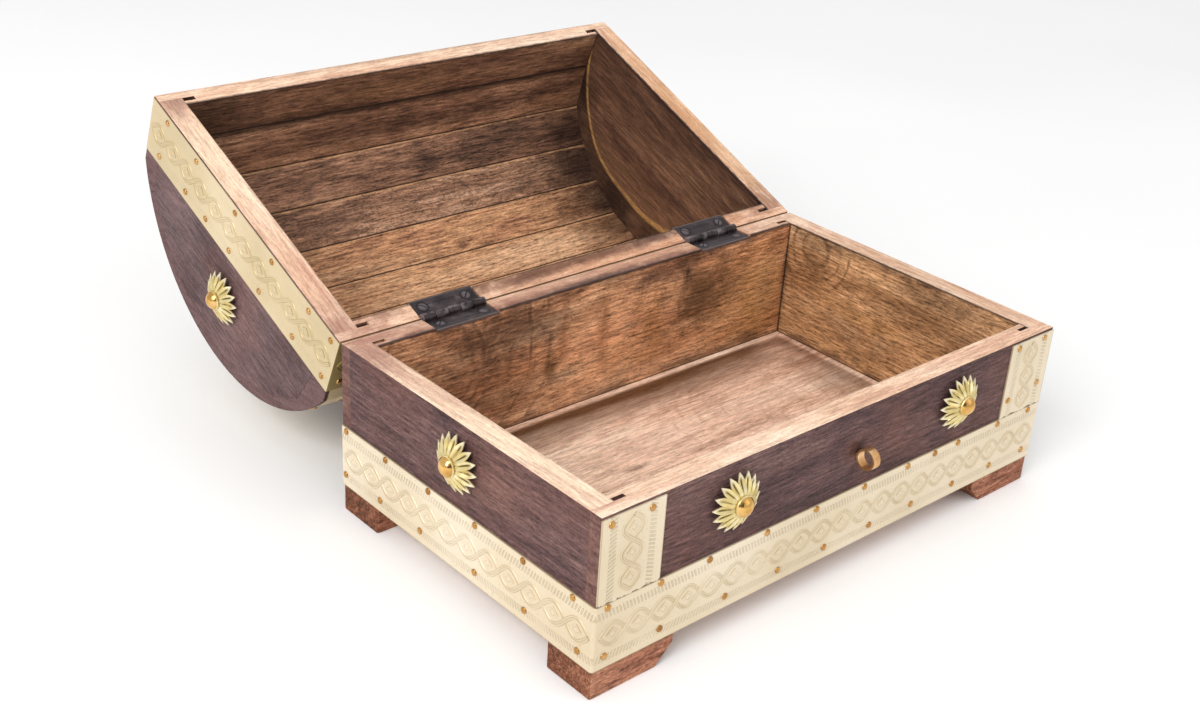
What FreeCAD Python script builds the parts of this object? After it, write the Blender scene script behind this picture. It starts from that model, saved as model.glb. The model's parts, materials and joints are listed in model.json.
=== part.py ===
import FreeCAD, Part
import os
import re

import Sketcher

# A domed storage chest of mango wood with embossed brass bands, shown with its lid open.
# Millimetres. X runs along the front, +Y to the back, +Z up.
# The origin is on the floor, in the middle of the four feet.
# Lid pieces are drawn closed, about the hinge axis, and then swung open together.

# Driving dimensions
SIZES = {
    # box
    "chest_width": 300,
    "chest_depth": 181,
    "base_height": 74,
    "wall_thick": 12,
    "floor_thick": 6.3,
    "corner_lip": 6.7,
    "kerf_width": 2.2,
    "kerf_run": 6.5,
    # feet
    "foot_height": 14.5,
    "foot_length": 46,
    "foot_depth": 28,
    "foot_chamfer": 9,
    # lid
    "rim_gap": 0.6,
    "rail_thick": 10,
    "rail_height": 24,
    "end_thick": 12.5,
    "lid_lip": 5,
    "shoulder_height": 41,
    "dome_rise": 57.5,
    "stave_thick": 6,
    "front_corner_arc": 10,
    "back_corner_arc": 15,
    "open_angle": 157.5,
    # brass sheet
    "base_brass": 0.7,
    "lid_brass": 0.2,
    "base_band_height": 32,
    "lid_band_low": 1,
    "lid_band_top": 34,
    "band_seam": 0.5,
    "plate_width": 34,
    "plate_gap": 1.2,
    "strap_inset": 2,
    # rosettes and their dome nails
    "rosette_radius": 14.2,
    "rosette_height": 7.2,
    "petal_lift": 1.5,
    "neck_radius": 3,
    "hub_radius": 5.2,
    "hub_thick": 0.9,
    "petal_root": 3.2,
    "petal_belly": 9.3,
    "petal_half_width": 1.95,
    "petal_ridge": 1,
    "petal_sheet": 0.5,
    "petal_tip": 0.2,
    "dome_nail_radius": 4.8,
    "dome_nail_height": 3,
    "nail_shank_radius": 1.3,
    "nail_depth": 8,
    "nail_fit": 0.05,
    "front_rosette_inset": 74.3,
    "base_rosette_level": 55.2,
    "lid_rosette_level": 57.4,
    # hinges
    "hinge_length": 37,
    "hinge_inset": 63,
    "hinge_offset": 0.6,
    "leaf_width": 12.2,
    "leaf_thick": 1.2,
    "leaf_recess": 0.7,
    "leaf_fit": 0.1,
    "knuckle_radius": 2.2,
    "knuckle_gap": 0.3,
    "hinge_pin_radius": 1.1,
    "hinge_pin_fit": 0.05,
    "swing_clearance": 0.3,
    "screw_head_radius": 2.6,
    "screw_head_height": 0.8,
    "screw_shank_radius": 1,
    "screw_length": 7,
    "screw_spread": 25.5,
    # staple and hasp
    "staple_offset": 6,
    "staple_level": 49.5,
    "staple_width": 4.5,
    "staple_radius": 5.2,
    "staple_strip": 1,
    "staple_standoff": 0.2,
    "staple_shank": 9,
    "hasp_width": 20,
    "hasp_thick": 0.8,
    "hasp_axis_height": 8,
    "hasp_plate_width": 30,
    "hasp_plate_height": 16,
    "hasp_knuckle_radius": 1.4,
    "hasp_pin_radius": 0.8,
    "hasp_slot_clearance": 1.3,
    "hasp_end_radius": 11,
}

PETALS = 16
SEAMS = 8
KNUCKLES = 5

# Places and sizes that follow from the ones above
DERIVED = {
    "half_width": "chest_width / 2",
    "half_depth": "chest_depth / 2",
    "wall_foot": "foot_height + floor_thick",
    "rim_level": "foot_height + base_height",
    "band_top": "foot_height + base_band_height",
    "hinge_y": "half_depth + hinge_offset",
    "hinge_z": "rim_level + rim_gap / 2",
    "leaf_top": "rim_gap / 2 + leaf_recess",
    "knuckle_room": "knuckle_radius + swing_clearance",
    "knuckle_pitch": f"hinge_length / {KNUCKLES}",
    "screw_inset": "(leaf_width + knuckle_room) / 2",
    "lid_back": "-hinge_offset",
    "lid_front": "-hinge_offset - chest_depth",
    "lid_middle": "-hinge_offset - half_depth",
    "lid_rim": "rim_gap / 2",
    "rail_top": "lid_rim + rail_height",
    "lid_shoulder": "lid_rim + shoulder_height",
    "dome_radius": "(half_depth ^ 2 + dome_rise ^ 2) / (2 * dome_rise)",
    "dome_level": "lid_shoulder + dome_rise - dome_radius",
    "shoulder_angle": "2 * atan(dome_rise / half_depth)",
    "front_seam": "shoulder_angle - front_corner_arc * 1 deg",
    "back_seam": "shoulder_angle - back_corner_arc * 1 deg",
    "staple_y": "-half_depth - staple_standoff - staple_radius",
    "staple_z": "foot_height + staple_level",
    "staple_bore": "staple_radius - staple_strip",
    "hasp_axis_out": "lid_front - lid_brass - hasp_thick - swing_clearance - hasp_thick / 2",
    "hasp_axis_up": "lid_rim + hasp_axis_height",
    "hasp_slot_drop": "hasp_axis_height + rim_gap + rim_level - staple_z",
    "hasp_slot_up": "hasp_axis_up + hasp_slot_drop",
    "hasp_slot_half": "staple_radius + hasp_slot_clearance",
    "hasp_tip_up": "hasp_slot_up + hasp_slot_half",
}

doc = FreeCAD.newDocument("StorageChest")
sheet = doc.addObject("Spreadsheet::Sheet", "Sizes")
for row, (alias, size) in enumerate(SIZES.items(), start=1):
    sheet.set(f"A{row}", alias)
    sheet.set(f"B{row}", str(size))
    sheet.setAlias(f"B{row}", alias)
doc.recompute()

sub_parts = []


# Expressions

def spell_out(text):
    """Write an expression with sheet cells in place of the names of sizes."""
    def one_name(match):
        word = match.group(0)
        if word in DERIVED:
            return f"({spell_out(DERIVED[word])})"
        return f"Sizes.{word}" if word in SIZES else word
    return re.sub(r"[a-z_]+", one_name, text)


def value(text):
    """The number that an expression has now."""
    result = sheet.evalExpression(spell_out(text))
    return float(getattr(result, "Value", result))


def bind(piece, prop, text):
    piece.setExpression(prop, spell_out(text))


def place(piece, x, y, z):
    for axis, text in zip("xyz", (x, y, z)):
        bind(piece, f"Placement.Base.{axis}", text)


def face_along(piece, axis, angle):
    """Turn a piece before it is placed."""
    piece.Placement = FreeCAD.Placement(FreeCAD.Vector(), FreeCAD.Rotation(FreeCAD.Vector(*axis), angle))


# Simple solids

def block(name, across, along, up):
    """A box between two expressions on each axis."""
    box = doc.addObject("Part::Box", name)
    for side, (low, high) in zip(("Length", "Width", "Height"), (across, along, up)):
        bind(box, side, f"({high}) - ({low})")
    place(box, across[0], along[0], up[0])
    return box


def rod(name, radius, start, length, x, y, z, axis="x"):
    """A cylinder that starts so far along its own axis from the point x, y, z."""
    cylinder = doc.addObject("Part::Cylinder", name)
    bind(cylinder, "Radius", radius)
    bind(cylinder, "Height", length)
    if axis == "x":
        face_along(cylinder, (0, 1, 0), 90)
        place(cylinder, f"{x} + {start}", y, z)
    elif axis == "y":
        face_along(cylinder, (1, 0, 0), -90)
        place(cylinder, x, f"{y} + {start}", z)
    else:
        place(cylinder, x, y, f"{z} + {start}")
    return cylinder


def fused(name, *pieces):
    union = doc.addObject("Part::MultiFuse", name)
    union.Shapes = list(pieces)
    return union


def cut(name, stock, *tools):
    result = doc.addObject("Part::Cut", name)
    result.Base = stock
    result.Tool = tools[0] if len(tools) == 1 else fused(f"{name}Cutters", *tools)
    return result


def group(name, pieces):
    together = doc.addObject("Part::Compound", name)
    together.Links = list(pieces)
    return together


# Sketched solids

def origin_part(body, role):
    return next(feature for feature in body.Origin.OriginFeatures if feature.Role == role)


def outline(body, name, role, offset, corners, arcs):
    """A closed sketch through corners, counter-clockwise; arcs gives the radius of each curved side."""
    sketch = body.newObject("Sketcher::SketchObject", name)
    sketch.AttachmentSupport = [(origin_part(body, role), "")]
    sketch.MapMode = "FlatFace"
    bind(sketch, "AttachmentOffset.Base.z", offset)
    points = [FreeCAD.Vector(value(right), value(up), 0) for right, up in corners]
    starts = []
    for side, point in enumerate(points):
        following = points[(side + 1) % len(points)]
        if side in arcs:
            sketch.addGeometry(arc_side(point, following, arcs[side]))
        else:
            sketch.addGeometry(Part.LineSegment(point, following))
        begins_here = sketch.getPoint(side, 1).distanceToPoint(point) < 1e-6
        starts.append(1 if begins_here else 2)
    for side, (right, up) in enumerate(corners):
        before = (side - 1) % len(corners)
        join = Sketcher.Constraint("Coincident", before, 3 - starts[before], side, starts[side])
        sketch.addConstraint(join)
        for kind, text in (("DistanceX", right), ("DistanceY", up)):
            size = Sketcher.Constraint(kind, -1, 1, side, starts[side], value(text))
            bind(sketch, f"Constraints[{sketch.addConstraint(size)}]", text)
    for side, radius in arcs.items():
        size = Sketcher.Constraint("Radius", side, abs(value(radius)))
        bind(sketch, f"Constraints[{sketch.addConstraint(size)}]", radius.lstrip("-"))
    return sketch


def arc_side(point, following, radius):
    """An arc to the next corner that bulges outwards, or inwards where its radius has a minus sign."""
    size = abs(value(radius))
    half_chord = (following - point) * 0.5
    sagitta = size - (max(size ** 2 - half_chord.Length ** 2, 0)) ** 0.5
    outwards = FreeCAD.Vector(half_chord.y, -half_chord.x, 0).normalize()
    bulge = -1 if radius.startswith("-") else 1
    return Part.Arc(point, point + half_chord + outwards * sagitta * bulge, following)


def padded(name, role, offset, length, corners, arcs=None):
    """A body extruded from one closed outline."""
    body = doc.addObject("PartDesign::Body", name)
    sketch = outline(body, f"{name}Outline", role, offset, corners, arcs or {})
    pad = body.newObject("PartDesign::Pad", f"{name}Pad")
    pad.Profile = sketch
    bind(pad, "Length", length)
    return body


def revolved(name, corners, arcs):
    """A body turned about its own Z axis."""
    body = doc.addObject("PartDesign::Body", name)
    sketch = outline(body, f"{name}Outline", "XZ_Plane", "0", corners, arcs)
    turn = body.newObject("PartDesign::Revolution", f"{name}Turn")
    turn.Profile = sketch
    turn.ReferenceAxis = (sketch, ["V_Axis"])
    turn.Angle = 360
    return body


def keep(piece, node):
    """Name a finished piece of the base."""
    piece.Label = node
    sub_parts.append(piece)


def keep_on_lid(piece, node):
    """Name a finished piece of the lid, and swing it open about the hinge axis."""
    face_along(piece, (1, 0, 0), -value("open_angle"))
    bind(piece, "Placement.Rotation.Angle", "-open_angle")
    place(piece, "0", "hinge_y", "hinge_z")
    keep(piece, node)


SIDES = {"left": -1, "right": 1}


def span(sign, inner, outer):
    """The two ends of a stretch along X, on the left or the right of the middle."""
    return (f"-({outer})", f"-({inner})") if sign < 0 else (inner, outer)


# Wooden base

def corner_cutters(name, sign, inner_y, lip_y, low, high, thick, kerf_y):
    """The rabbet that takes an end board, and the saw kerf that runs past it."""
    rabbet = block(f"{name}Rabbet", span(sign, f"half_width - {thick}", "half_width"),
                   sorted_pair(lip_y, inner_y), (low, high))
    kerf = block(f"{name}Kerf", span(sign, f"half_width - {thick} - kerf_run", f"half_width - {thick}"),
                 sorted_pair(lip_y, kerf_y), (low, high))
    return [rabbet, kerf]


def sorted_pair(one, other):
    return (one, other) if value(one) < value(other) else (other, one)


def make_base_boards():
    """Front and back run the full width, and the ends stand in their rabbets."""
    up = ("wall_foot", "rim_level")
    for name, sign in (("front", -1), ("back", 1)):
        towards = "-" if sign < 0 else ""
        outer, inner = f"{towards}(half_depth)", f"{towards}(half_depth - wall_thick)"
        lip = f"{towards}(half_depth - corner_lip)"
        kerf = f"{towards}(half_depth - corner_lip - kerf_width)"
        stock = block(f"Base{name}Stock", ("-half_width", "half_width"), sorted_pair(outer, inner), up)
        cutters = []
        for side, hand in SIDES.items():
            cutters += corner_cutters(f"Base{name}{side}", hand, inner, lip, *up, "wall_thick", kerf)
            cutters += base_hinge_cutters(side, hand) if sign > 0 else []
        cutters += front_board_holes() if sign < 0 else []
        keep(cut(f"Base{name}", stock, *cutters), f"base_{name}_board")
    for side, sign in SIDES.items():
        stock = block(f"Base{side}Stock", span(sign, "half_width - wall_thick", "half_width"),
                      ("-half_depth + corner_lip", "half_depth - corner_lip"), up)
        hole = nail_hole(f"Base{side}Hole", side, "0", "foot_height + base_rosette_level")
        keep(cut(f"Base{side}", stock, hole), f"base_{side}_board")
    floor = block("BaseFloor", ("-half_width", "half_width"), ("-half_depth", "half_depth"),
                  ("foot_height", "wall_foot"))
    keep(floor, "base_floor_panel")


def front_board_holes():
    """Holes for two rosette nails and the slot for the staple's shank."""
    holes = []
    for side, sign in SIDES.items():
        holes.append(rod(f"Front{side}Hole", "nail_shank_radius + nail_fit", "0", "nail_depth",
                         f"{sign} * (half_width - front_rosette_inset)", "-half_depth",
                         "foot_height + base_rosette_level", "y"))
    holes.append(block("StapleSlot",
                       ("staple_offset - staple_width / 2 - nail_fit",
                        "staple_offset + staple_width / 2 + nail_fit"),
                       ("-half_depth", "-half_depth + staple_shank + nail_fit"),
                       ("staple_z - staple_strip - nail_fit", "staple_z + staple_strip + nail_fit")))
    return holes


def nail_hole(name, side, y, z):
    """A rosette nail's hole in an end board, from the outside inwards."""
    start = "0" if side == "left" else "-nail_depth"
    return rod(name, "nail_shank_radius + nail_fit", start, "nail_depth",
               f"{SIDES[side]} * half_width", y, z)


def make_feet():
    """Four blocks, each chamfered under its inner end."""
    for row, back in (("front", "-half_depth + foot_depth"), ("back", "half_depth")):
        for side, sign in SIDES.items():
            toe, heel = f"{sign} * half_width", f"{sign} * (half_width - foot_length)"
            chamfer = f"{sign} * (half_width - foot_length + foot_chamfer)"
            corners = [(toe, "0"), (toe, "foot_height"), (heel, "foot_height"),
                       (heel, "foot_chamfer"), (chamfer, "0")]
            if sign < 0:
                corners.reverse()
            foot = padded(f"Foot{row}{side}", "XZ_Plane", f"-({back})", "foot_depth", corners)
            keep(foot, f"foot_{row}_{side}")


# Wooden lid

def make_lid_rails():
    """The straight front and back of the lid's rim, joined like the base."""
    up = ("lid_rim", "rail_top")
    rails = (("front", "lid_front", "+"), ("back", "lid_back", "-"))
    for name, face, inwards in rails:
        inner, lip = f"{face} {inwards} rail_thick", f"{face} {inwards} lid_lip"
        kerf = f"{face} {inwards} (lid_lip + kerf_width)"
        stock = block(f"Lid{name}Stock", ("-half_width", "half_width"), sorted_pair(face, inner), up)
        cutters = []
        for side, hand in SIDES.items():
            cutters += corner_cutters(f"Lid{name}{side}", hand, inner, lip, *up, "end_thick", kerf)
            cutters += lid_hinge_cutters(side, hand) if name == "back" else []
        keep_on_lid(cut(f"Lid{name}", stock, *cutters), f"lid_{name}_rail")


def on_dome(angle, radius):
    """A point of the dome's section, at an angle from straight up towards the front."""
    return (f"lid_middle - {radius} * sin({angle})", f"dome_level + {radius} * cos({angle})")


# The seams between staves, as angles from front to back, and the circle through their inner edges
SEAM_ANGLES = [f"(front_seam - (front_seam + back_seam) * {seam} / {SEAMS - 1})" for seam in range(SEAMS)]
INNER_DOME = "(dome_radius - stave_thick)"


def make_lid_ends():
    """D-shaped ends under the staves, with one flat edge for each stave and a foot between the rails."""
    edges = [on_dome(angle, INNER_DOME) for angle in reversed(SEAM_ANGLES)]
    corners = [("lid_front + lid_lip", "lid_rim"), ("lid_back - lid_lip", "lid_rim"),
               ("lid_back - lid_lip", "rail_top"), ("lid_back - rail_thick", "rail_top"), *edges,
               ("lid_front + rail_thick", "rail_top"), ("lid_front + lid_lip", "rail_top")]
    for side, sign in SIDES.items():
        start = span(sign, "half_width - end_thick", "half_width")[0]
        board = padded(f"Lid{side}Board", "YZ_Plane", start, "end_thick", corners)
        hole = nail_hole(f"Lid{side}Hole", side, "lid_middle", "lid_rim + lid_rosette_level")
        keep_on_lid(cut(f"Lid{side}", board, hole), f"lid_{side}_end")


def make_lid_staves():
    """Staves from end to end: round outside, flat inside, with a taller one on each rail."""
    first, last = SEAM_ANGLES[0], SEAM_ANGLES[-1]
    front_corner = [("lid_front + rail_thick", "rail_top"), on_dome(first, INNER_DOME),
                    on_dome(first, "dome_radius"), ("lid_front", "lid_shoulder"),
                    ("lid_front", "rail_top")]
    back_corner = [("lid_back - rail_thick", "rail_top"), ("lid_back", "rail_top"),
                   ("lid_back", "lid_shoulder"), on_dome(last, "dome_radius"),
                   on_dome(last, INNER_DOME)]
    outlines = [front_corner]
    for before, after in zip(SEAM_ANGLES, SEAM_ANGLES[1:]):
        outlines.append([on_dome(before, INNER_DOME), on_dome(after, INNER_DOME),
                         on_dome(after, "dome_radius"), on_dome(before, "dome_radius")])
    outlines.append(back_corner)
    for number, corners in enumerate(outlines, start=1):
        stave = padded(f"Stave{number}", "YZ_Plane", "-half_width", "chest_width", corners,
                       {2: "dome_radius"})
        keep_on_lid(stave, f"lid_stave_{number}")


# Brass sheet

def round_cornered(name, half, front, back, radius, low, high):
    """An upright block with rounded corners, as wide to the left as to the right."""
    near, far = f"{front} + {radius}", f"{back} - {radius}"
    left, right = f"-({half}) + {radius}", f"{half} - {radius}"
    corners = [(left, front), (right, front), (half, near), (half, far),
               (right, back), (left, back), (f"-({half})", far), (f"-({half})", near)]
    arcs = {side: radius for side in range(1, len(corners), 2)}
    return padded(name, "XY_Plane", low, f"({high}) - ({low})", corners, arcs)


def sheet_ring(name, thick, front, back, low, high, *notches):
    """A strip bent round the four sides, with its butt seam in the middle of the back."""
    skin = round_cornered(f"{name}Skin", f"half_width + {thick}", f"{front} - {thick}", f"{back} + {thick}",
                          f"2 * {thick}", low, high)
    core = block(f"{name}Core", ("-half_width", "half_width"), (front, back), (low, high))
    seam = block(f"{name}Seam", ("-band_seam / 2", "band_seam / 2"),
                 (back, f"{back} + {thick}"), (low, high))
    return cut(name, skin, core, seam, *notches)


def make_bands():
    base_band = sheet_ring("BaseBand", "base_brass", "-half_depth", "half_depth", "foot_height", "band_top")
    keep(base_band, "base_band")
    notches = [block(f"HingeNotch{side}", leaf_span(sign), ("lid_back", "lid_back + lid_brass"),
                     ("lid_rim", "knuckle_room")) for side, sign in SIDES.items()]
    lid_band = sheet_ring("LidBand", "lid_brass", "lid_front", "lid_back", "lid_rim + lid_band_low",
                          "lid_rim + lid_band_top", *notches)
    keep_on_lid(lid_band, "lid_band")


def make_front_plates():
    """Brass corner plates between the base band and the rim."""
    for side, sign in SIDES.items():
        plate = block(f"Plate{side}", span(sign, "half_width - plate_width", "half_width"),
                      ("-half_depth - base_brass", "-half_depth"),
                      ("band_top", "rim_level - plate_gap"))
        keep(plate, f"front_plate_{side}")


def make_lid_straps():
    """Straps over the dome in line with the front plates, from band to band."""
    outer_shoulder = "dome_level + sqrt((dome_radius + lid_brass) ^ 2 - (half_depth + lid_brass) ^ 2)"
    low = "lid_rim + lid_band_top"
    corners = [("lid_back", low), ("lid_back + lid_brass", low),
               ("lid_back + lid_brass", outer_shoulder), ("lid_front - lid_brass", outer_shoulder),
               ("lid_front - lid_brass", low), ("lid_front", low),
               ("lid_front", "lid_shoulder"), ("lid_back", "lid_shoulder")]
    arcs = {2: "dome_radius + lid_brass", 6: "-dome_radius"}
    for side, sign in SIDES.items():
        start = span(sign, "half_width - plate_width", "half_width - strap_inset")[0]
        strap = padded(f"Strap{side}", "YZ_Plane", start, "plate_width - strap_inset", corners, arcs)
        keep_on_lid(strap, f"lid_strap_{side}")


# Rosettes and dome nails

def petal_section(radius, half_width, level):
    """The corners of a roof-shaped cut through one petal, square to its length."""
    far, half, low = value(radius), value(half_width), value(level)
    sheet_top = low + value("petal_sheet")
    ridge = value(f"petal_ridge * ({half_width}) / petal_half_width")
    corners = [(-half, low), (0, low + ridge), (half, low),
               (half, sheet_top), (0, sheet_top + ridge), (-half, sheet_top)]
    return [FreeCAD.Vector(far, across, up) for across, up in corners]


def flat_face(corners):
    return Part.Face(Part.makePolygon([*corners, corners[0]]))


def petal_solid():
    """One ridged petal: it widens from the hub to its belly, and narrows to a tip clear of the wood."""
    root = petal_section("petal_root", "petal_half_width * petal_root / petal_belly",
                         "rosette_height - hub_thick")
    belly = petal_section("petal_belly", "petal_half_width", "(rosette_height + petal_lift) / 2")
    tip = petal_section("rosette_radius", "petal_tip", "petal_lift")
    faces = [flat_face(root), flat_face(tip)]
    for near, far in ((root, belly), (belly, tip)):
        for corner in range(len(near)):
            following = (corner + 1) % len(near)
            faces.append(flat_face([near[corner], near[following], far[following], far[corner]]))
    solid = Part.Solid(Part.Shell(faces))
    if solid.Volume < 0:
        solid.reverse()
    return solid


def rosette_shape():
    """A sunflower of petals that slope down from a hub on a short neck, with a nail hole."""
    upright = FreeCAD.Vector(0, 0, 1)
    petal = petal_solid()
    petals = [petal.rotated(FreeCAD.Vector(), upright, 360 / PETALS * number) for number in range(PETALS)]
    hub_foot = FreeCAD.Vector(0, 0, value("rosette_height - hub_thick"))
    hub = Part.makeCylinder(value("hub_radius"), value("hub_thick"), hub_foot)
    neck = Part.makeCylinder(value("neck_radius"), value("rosette_height - hub_thick"))
    hole = Part.makeCylinder(value("nail_shank_radius + nail_fit"), value("rosette_height"))
    return hub.multiFuse([neck, *petals]).cut(hole)


def rosette(name, shape):
    flower = doc.addObject("Part::Feature", name)
    flower.Shape = shape
    return flower


def dome_nail(name):
    """A round-headed nail that holds a rosette by its hub; its own zero is the wood's face."""
    seat = "rosette_height"
    corners = [("0", "-nail_depth"), ("nail_shank_radius", "-nail_depth"), ("nail_shank_radius", seat),
               ("dome_nail_radius", seat), ("0", f"{seat} + dome_nail_height")]
    cap = "(dome_nail_radius ^ 2 + dome_nail_height ^ 2) / (2 * dome_nail_height)"
    return revolved(name, corners, {3: cap})


OUTWARDS = {"front": ((1, 0, 0), 90), "left": ((0, 1, 0), -90), "right": ((0, 1, 0), 90)}


def stand_on(piece, face, x, y, z):
    """Turn a piece to face out of the chest's front or end, and set it there."""
    face_along(piece, *OUTWARDS[face])
    place(piece, x, y, z)
    return piece


def make_rosettes():
    """Two on the front and one on each end of the base and of the lid."""
    base_level = "foot_height + base_rosette_level"
    lid_level = "lid_rim + lid_rosette_level"
    shape = rosette_shape()
    base_nails, lid_nails = [], []
    for side, sign in SIDES.items():
        front = (f"{sign} * (half_width - front_rosette_inset)", "-half_depth", base_level)
        end = (f"{sign} * half_width", "0", base_level)
        lid_end = (f"{sign} * half_width", "lid_middle", lid_level)
        keep(stand_on(rosette(f"RosetteFront{side}", shape), "front", *front), f"rosette_front_{side}")
        keep(stand_on(rosette(f"RosetteBase{side}", shape), side, *end), f"rosette_base_{side}")
        lid_rosette = stand_on(rosette(f"RosetteLid{side}", shape), side, *lid_end)
        keep_on_lid(group(f"RosetteOnLid{side}", [lid_rosette]), f"rosette_lid_{side}")
        base_nails.append(stand_on(dome_nail(f"NailFront{side}"), "front", *front))
        base_nails.append(stand_on(dome_nail(f"NailBase{side}"), side, *end))
        lid_nails.append(stand_on(dome_nail(f"NailLid{side}"), side, *lid_end))
    keep(group("BaseRosetteNails", base_nails), "base_rosette_nails")
    keep_on_lid(group("LidRosetteNails", lid_nails), "lid_rosette_nails")


# Butt hinges

def hinge_centre(sign):
    return f"{sign} * (half_width - hinge_inset)"


def leaf_span(sign):
    """The stretch of rim that one hinge takes up, with room for its leaf."""
    middle = hinge_centre(sign)
    return (f"{middle} - hinge_length / 2 - leaf_fit", f"{middle} + hinge_length / 2 + leaf_fit")


def knuckle_groove(name, sign, y, z):
    """Room for one hinge's barrel, along the rim's outer edge."""
    first, last = leaf_span(sign)
    return rod(name, "knuckle_room", "0", f"({last}) - ({first})", first, y, z)


def base_hinge_cutters(side, sign):
    """The recess across the back board for one leaf and its barrel, and the holes for its screws."""
    mortise = block(f"BaseMortise{side}", leaf_span(sign), ("half_depth - wall_thick", "half_depth"),
                    ("hinge_z - leaf_top - leaf_thick", "rim_level"))
    groove = knuckle_groove(f"BaseGroove{side}", sign, "hinge_y", "hinge_z")
    holes = []
    for number in (-1, 1):
        x, y = screw_spot(sign, number)
        holes.append(rod(f"BaseScrewHole{side}{number + 1}", "screw_shank_radius + nail_fit",
                         "-screw_length", "screw_length", x, f"hinge_y + {y}", "hinge_z - leaf_top", "z"))
    return [mortise, groove, *holes]


def lid_hinge_cutters(side, sign):
    """The same recess and holes in the lid's back rail."""
    mortise = block(f"LidMortise{side}", leaf_span(sign), ("lid_back - rail_thick", "lid_back"),
                    ("lid_rim", "leaf_top + leaf_thick"))
    groove = knuckle_groove(f"LidGroove{side}", sign, "0", "0")
    holes = []
    for number in (-1, 1):
        x, y = screw_spot(sign, number)
        holes.append(rod(f"LidScrewHole{side}{number + 1}", "screw_shank_radius + nail_fit",
                         "0", "screw_length", x, y, "leaf_top", "z"))
    return [mortise, groove, *holes]


def hinge_leaf(name, sign, lid, knuckles):
    """A plate with rolled knuckles; the hinge axis is its own X axis."""
    middle = hinge_centre(sign)
    low, high = ("leaf_top", "leaf_top + leaf_thick") if lid else ("-leaf_top - leaf_thick", "-leaf_top")
    pieces = [block(f"{name}Plate", (f"{middle} - hinge_length / 2", f"{middle} + hinge_length / 2"),
                    ("-leaf_width", "-knuckle_room"), (low, high))]
    for knuckle in knuckles:
        start = f"{middle} - hinge_length / 2 + {knuckle} * knuckle_pitch"
        first = f"{start} + knuckle_gap / 2"
        last = f"{start} + knuckle_pitch - knuckle_gap / 2"
        pieces.append(block(f"{name}Tongue{knuckle}", (first, last), ("-knuckle_room", "0"), (low, high)))
        pieces.append(rod(f"{name}Knuckle{knuckle}", "knuckle_radius", "0", "knuckle_pitch - knuckle_gap",
                          first, "0", "0"))
    bore = rod(f"{name}Bore", "hinge_pin_radius + hinge_pin_fit", "-hinge_length", "2 * hinge_length",
               middle, "0", "0")
    holes = [rod(f"{name}ScrewHole{number}", "screw_shank_radius + nail_fit", "0", "leaf_thick",
                 *screw_spot(sign, number), low, "z") for number in (-1, 1)]
    return cut(name, fused(f"{name}Solid", *pieces), bore, *holes)


def screw_spot(sign, number):
    return f"{hinge_centre(sign)} + {number} * screw_spread / 2", "-screw_inset"


def hinge_screw(name, sign, number, lid):
    """A dome-headed screw through a leaf, down into the rim below it."""
    corners = [("0", "-screw_length"), ("screw_shank_radius", "-screw_length"),
               ("screw_shank_radius", "0"), ("screw_head_radius", "0"), ("0", "screw_head_height")]
    cap = "(screw_head_radius ^ 2 + screw_head_height ^ 2) / (2 * screw_head_height)"
    screw = revolved(name, corners, {3: cap})
    if lid:
        face_along(screw, (1, 0, 0), 180)
    place(screw, *screw_spot(sign, number), "leaf_top" if lid else "-leaf_top")
    return screw


def make_hinges():
    """Five-knuckle butt hinges: three knuckles on the base leaf, two on the lid leaf."""
    base_screws, lid_screws = [], []
    for side, sign in SIDES.items():
        base_leaf = hinge_leaf(f"BaseLeaf{side}", sign, False, (0, 2, 4))
        place(base_leaf, "0", "hinge_y", "hinge_z")
        keep(base_leaf, f"hinge_{side}_base_leaf")
        keep_on_lid(hinge_leaf(f"LidLeaf{side}", sign, True, (1, 3)), f"hinge_{side}_lid_leaf")
        pin = rod(f"HingePin{side}", "hinge_pin_radius", "-hinge_length / 2", "hinge_length",
                  hinge_centre(sign), "hinge_y", "hinge_z")
        keep(pin, f"hinge_{side}_pin")
        for number in (-1, 1):
            base_screws.append(hinge_screw(f"BaseScrew{side}{number + 1}", sign, number, False))
            lid_screws.append(hinge_screw(f"LidScrew{side}{number + 1}", sign, number, True))
    base_group = group("BaseScrews", base_screws)
    place(base_group, "0", "hinge_y", "hinge_z")
    keep(base_group, "hinge_base_screws")
    keep_on_lid(group("LidScrews", lid_screws), "hinge_lid_screws")


# Staple and hasp

def make_staple():
    """A brass strip bent into an eye, with its two ends side by side in the front board."""
    start = "staple_offset - staple_width / 2"
    ring = rod("StapleRing", "staple_radius", "0", "staple_width", start, "staple_y", "staple_z")
    shank = block("StapleShank", (start, f"{start} + staple_width"),
                  ("staple_y + staple_bore", "-half_depth + staple_shank"),
                  ("staple_z - staple_strip", "staple_z + staple_strip"))
    eye = rod("StapleEye", "staple_bore", "0", "staple_width", start, "staple_y", "staple_z")
    keep(cut("Staple", fused("StapleSolid", ring, shank), eye), "staple")


def hasp_knuckle(name, start, end):
    return rod(name, "hasp_knuckle_radius", "0", f"({end}) - ({start})",
               start, "hasp_axis_out", "hasp_axis_up")


def hasp_bore(name):
    return rod(name, "hasp_pin_radius + hinge_pin_fit", "-hasp_width", "2 * hasp_width",
               "staple_offset", "hasp_axis_out", "hasp_axis_up")


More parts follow.
